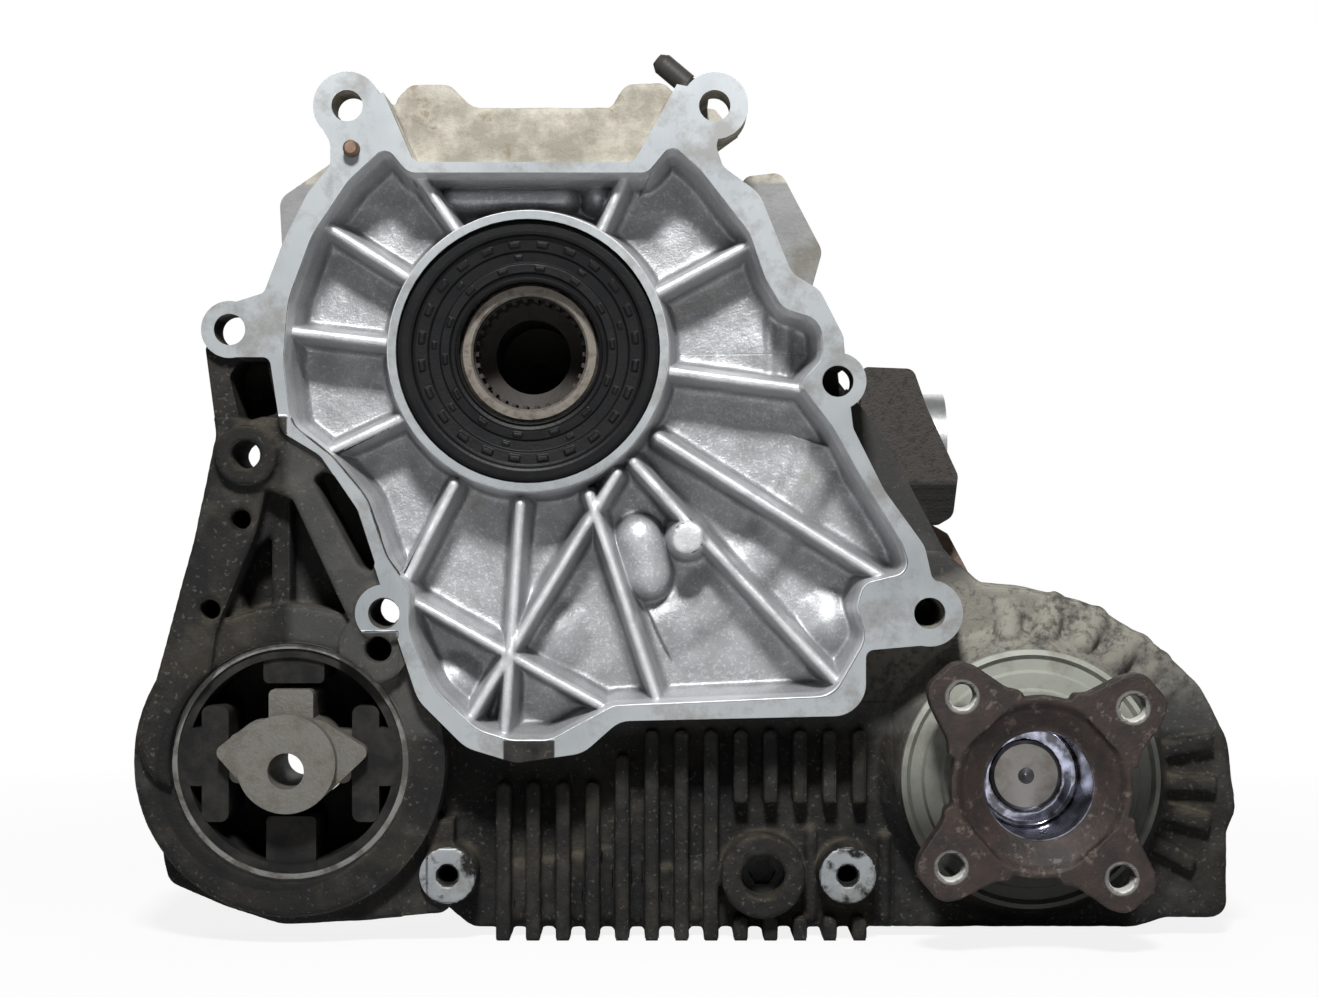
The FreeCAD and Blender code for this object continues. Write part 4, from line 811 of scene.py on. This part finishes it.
bracket = {"nodes": ["front_housing", "gearbox_flange"], "low": (-146, -1, -212), "high": (-46, 57, -24),
           "grain": 1.1, "cover": 0.30, "rough": 0.12}
castSkin("cast_bracket", bracket, level=besideRim)
top = {"nodes": ["front_housing"], "low": (-52, 9.5, 63), "high": (60, 70, 100),
       "grain": 1.1, "cover": 0.34, "rough": 0.16}
castSkin("cast_top", top)

# The flange's cup: inside its mouth the face sinks in a cone down to the hole.
cup = {"mouth": 26.5, "slope": 6.5, "depth": 6.5, "faceReach": 9, "hole": 20.5, "holeLift": -0.05}
arms = {"nodes": ["front_output_flange"], "low": (100, -20, -250), "high": (260, 60, -60),
        "grain": 0.8, "cover": -0.12, "rough": 0.10}


# The hole's wall keeps nearly its own place.
def insideCup(x, depth, z):
    return np.where(np.hypot(x - outputX, z - outputZ) < cup["hole"], cup["holeLift"], np.nan)


flange = castSkin("flange_skin", arms, "rusty", "front_output", level=insideCup)
points = np.empty(3 * len(flange.data.vertices))
flange.data.vertices.foreach_get("co", points)
points = points.reshape(-1, 3)
fromAxis = np.hypot(points[:, 0] - outputX * mm, points[:, 2] - outputZ * mm) / mm
faceLevel = points[fromAxis < 30, 1].min()
nearFace = np.clip(1 - (points[:, 1] - faceLevel) / (cup["faceReach"] * mm), 0, 1)
sunk = np.clip((cup["mouth"] - fromAxis) / cup["slope"], 0, 1)
points[:, 1] += cup["depth"] * mm * sunk * nearFace
flange.data.vertices.foreach_set("co", points.ravel())
flange.data.update()
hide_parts("front_output_flange")


# Input seal
print("seal")

seal = {"outer": 47.45, "inner": 25.5, "back": 19.9, "around": 900,
        # radius, half width, count, length, height and offset of each ring of pads
        "padRings": ((38.8, 1.1, 24, 4.2, 0.9, 0.0), (30.3, 0.9, 14, 3.6, 0.8, 0.3),
                     (34.2, 0.8, 9, 2.8, 0.6, 0.1))}
# Radius and depth along the front, from the outer edge inwards
profile = np.array([(47.45, 9.5), (47.45, 8.2), (46.9, 7.5), (45.6, 7.2), (43.2, 7.2), (42.2, 7.6),
                    (41.6, 9.4), (40.8, 9.9), (36.6, 10.3), (35.9, 11.3), (32.4, 11.6), (31.8, 10.9),
                    (28.9, 10.9), (28.1, 12.2), (26.9, 12.6), (26.2, 11.8), (25.6, 12.4), (25.5, 13.8)])
span = np.concatenate([[0], np.cumsum(np.hypot(*np.diff(profile, axis=0).T))])
steps = np.unique(np.concatenate([span, np.linspace(0, span[-1], 90)]))
sealRadius = np.interp(steps, span, profile[:, 0])
sealDepth = np.interp(steps, span, profile[:, 1])
turn = np.linspace(0, 2 * math.pi, seal["around"], endpoint=False)
radius, angle = np.meshgrid(sealRadius, turn)
depth = np.broadcast_to(sealDepth, radius.shape).copy()


# Small raised pads in a ring: height where both the radius and the angle are within the pad.
def pads(rowRadius, half, count, width, height, offset):
    phase = (angle / (2 * math.pi) * count + offset) % 1 - 0.5
    inside = np.clip((half - np.abs(radius - rowRadius)) / 0.25, 0, 1)
    inside = inside * np.clip((width / 2 - np.abs(phase) * 2 * math.pi * rowRadius / count) / 0.25, 0, 1)
    return height * inside


for ring in seal["padRings"]:
    depth -= pads(*ring)
front = place(radius * np.cos(angle), depth, radius * np.sin(angle)).reshape(-1, 3)
columns = len(steps)
edges = np.array([seal["outer"], seal["inner"]])
backRing = place(np.cos(turn)[:, None] * edges, seal["back"], np.sin(turn)[:, None] * edges).reshape(-1, 3)
faces = gridFaces(len(turn), columns, wrapRows=True, flip=True)
base, i = len(front), np.arange(len(turn))
j = (i + 1) % len(turn)
outerWall = np.stack([i * columns, j * columns, base + 2 * j, base + 2 * i], -1)
backWall = np.stack([base + 2 * i, base + 2 * j, base + 2 * j + 1, base + 2 * i + 1], -1)
innerWall = np.stack([base + 2 * i + 1, base + 2 * j + 1, (j + 1) * columns - 1, (i + 1) * columns - 1], -1)
for wall in (outerWall, backWall, innerWall):
    faces += wall[:, ::-1].tolist()
sealPoints = np.vstack([front, backRing])
sealSkin = makePiece("input_seal_face", sealPoints, faces, "case", looks["sealRubber"])
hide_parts("input_seal")


# Floor, light and camera
print("stage")

studio = {"floorLevel": -0.2145, "floorSize": 6.0, "floorGrey": 0.62, "key": 34.0, "fill": 0.6, "rim": 4.0,
          "world": 0.03, "mirrored": 0.16}

bpy.ops.mesh.primitive_plane_add(size=studio["floorSize"], location=(0, 0, studio["floorLevel"]))
floor = bpy.context.object
floor.name = "floor"
g = Graph(bpy.data.materials.new("paleFloor"))
diffuse = g.node("BsdfDiffuse", {}, {"Color": (*(studio["floorGrey"],) * 3, 1)})
glow = g.node("Emission", {}, {"Color": (1, 1, 1, 1), "Strength": 1.0})
fx, fy, fz = g.xyz
away = ((fx - 0.05) * (fx - 0.05) + (fy - 0.05) * (fy - 0.05)).maths("SQRT")
cameraRay = g.node("LightPath", {}, {}, "Is Camera Ray")
factor = cameraRay * (away.over(0.42, 0.5) * 0.14 + 0.86)
joined = g.node("MixShader", {}, {0: factor, 1: diffuse, 2: glow})
g.node("OutputMaterial", {}, {0: joined}, None)
floor.data.materials.append(g.owner)

# The camera sees a white world, mirrored rays see a share of it, and diffuse ones only the soft light.
sky = Graph(bpy.data.worlds.new("studio"))
bpy.context.scene.world = sky.owner
cameraRay = sky.node("LightPath", {}, {}, "Is Camera Ray")
clearRay = sky.node("LightPath", {}, {}, "Is Transmission Ray")
mirroredRay = sky.node("LightPath", {}, {}, "Is Glossy Ray")
shown = (mirroredRay * studio["mirrored"]).plus(cameraRay.maths("MAXIMUM", clearRay))
soft = sky.node("Background", {}, {"Color": (0.96, 0.98, 1.0, 1), "Strength": studio["world"]})
white = sky.node("Background", {}, {"Color": (1, 1, 1, 1)})
mixed = sky.node("MixShader", {}, {0: shown, 1: soft, 2: white})
sky.node("OutputWorld", {}, {0: mixed}, None)


middle = (0.05, 0.0, -0.06)


# A square lamp that looks at the middle of the object.
def areaLight(name, location, size, power):
    lamp = bpy.data.lights.new(name, "AREA")
    lamp.shape = "SQUARE"
    lamp.size = size
    lamp.energy = power
    holder = linked(name, lamp)
    holder.location = location
    holder.rotation_euler = (Vector(middle) - Vector(location)).to_track_quat("-Z", "Y").to_euler()


areaLight("key", (0.0, -0.98, 0.86), 0.20, studio["key"])
areaLight("fill", (0.95, -0.95, 0.25), 0.8, studio["fill"])
areaLight("backLight", (0.3, 1.1, 0.7), 0.7, studio["rim"])

lens = bpy.data.cameras.new("camera")
lens.sensor_width = 36.0
lens.lens = 36.0 * 925 / 470.7
lens.clip_start = 0.01
lens.clip_end = 50
camera = linked("camera", lens)
camera.location = (0.0471, -0.947, -0.053)
camera.rotation_euler = (math.radians(90), 0, 0)
bpy.context.scene.camera = camera
bpy.context.scene.view_settings.view_transform = "Standard"
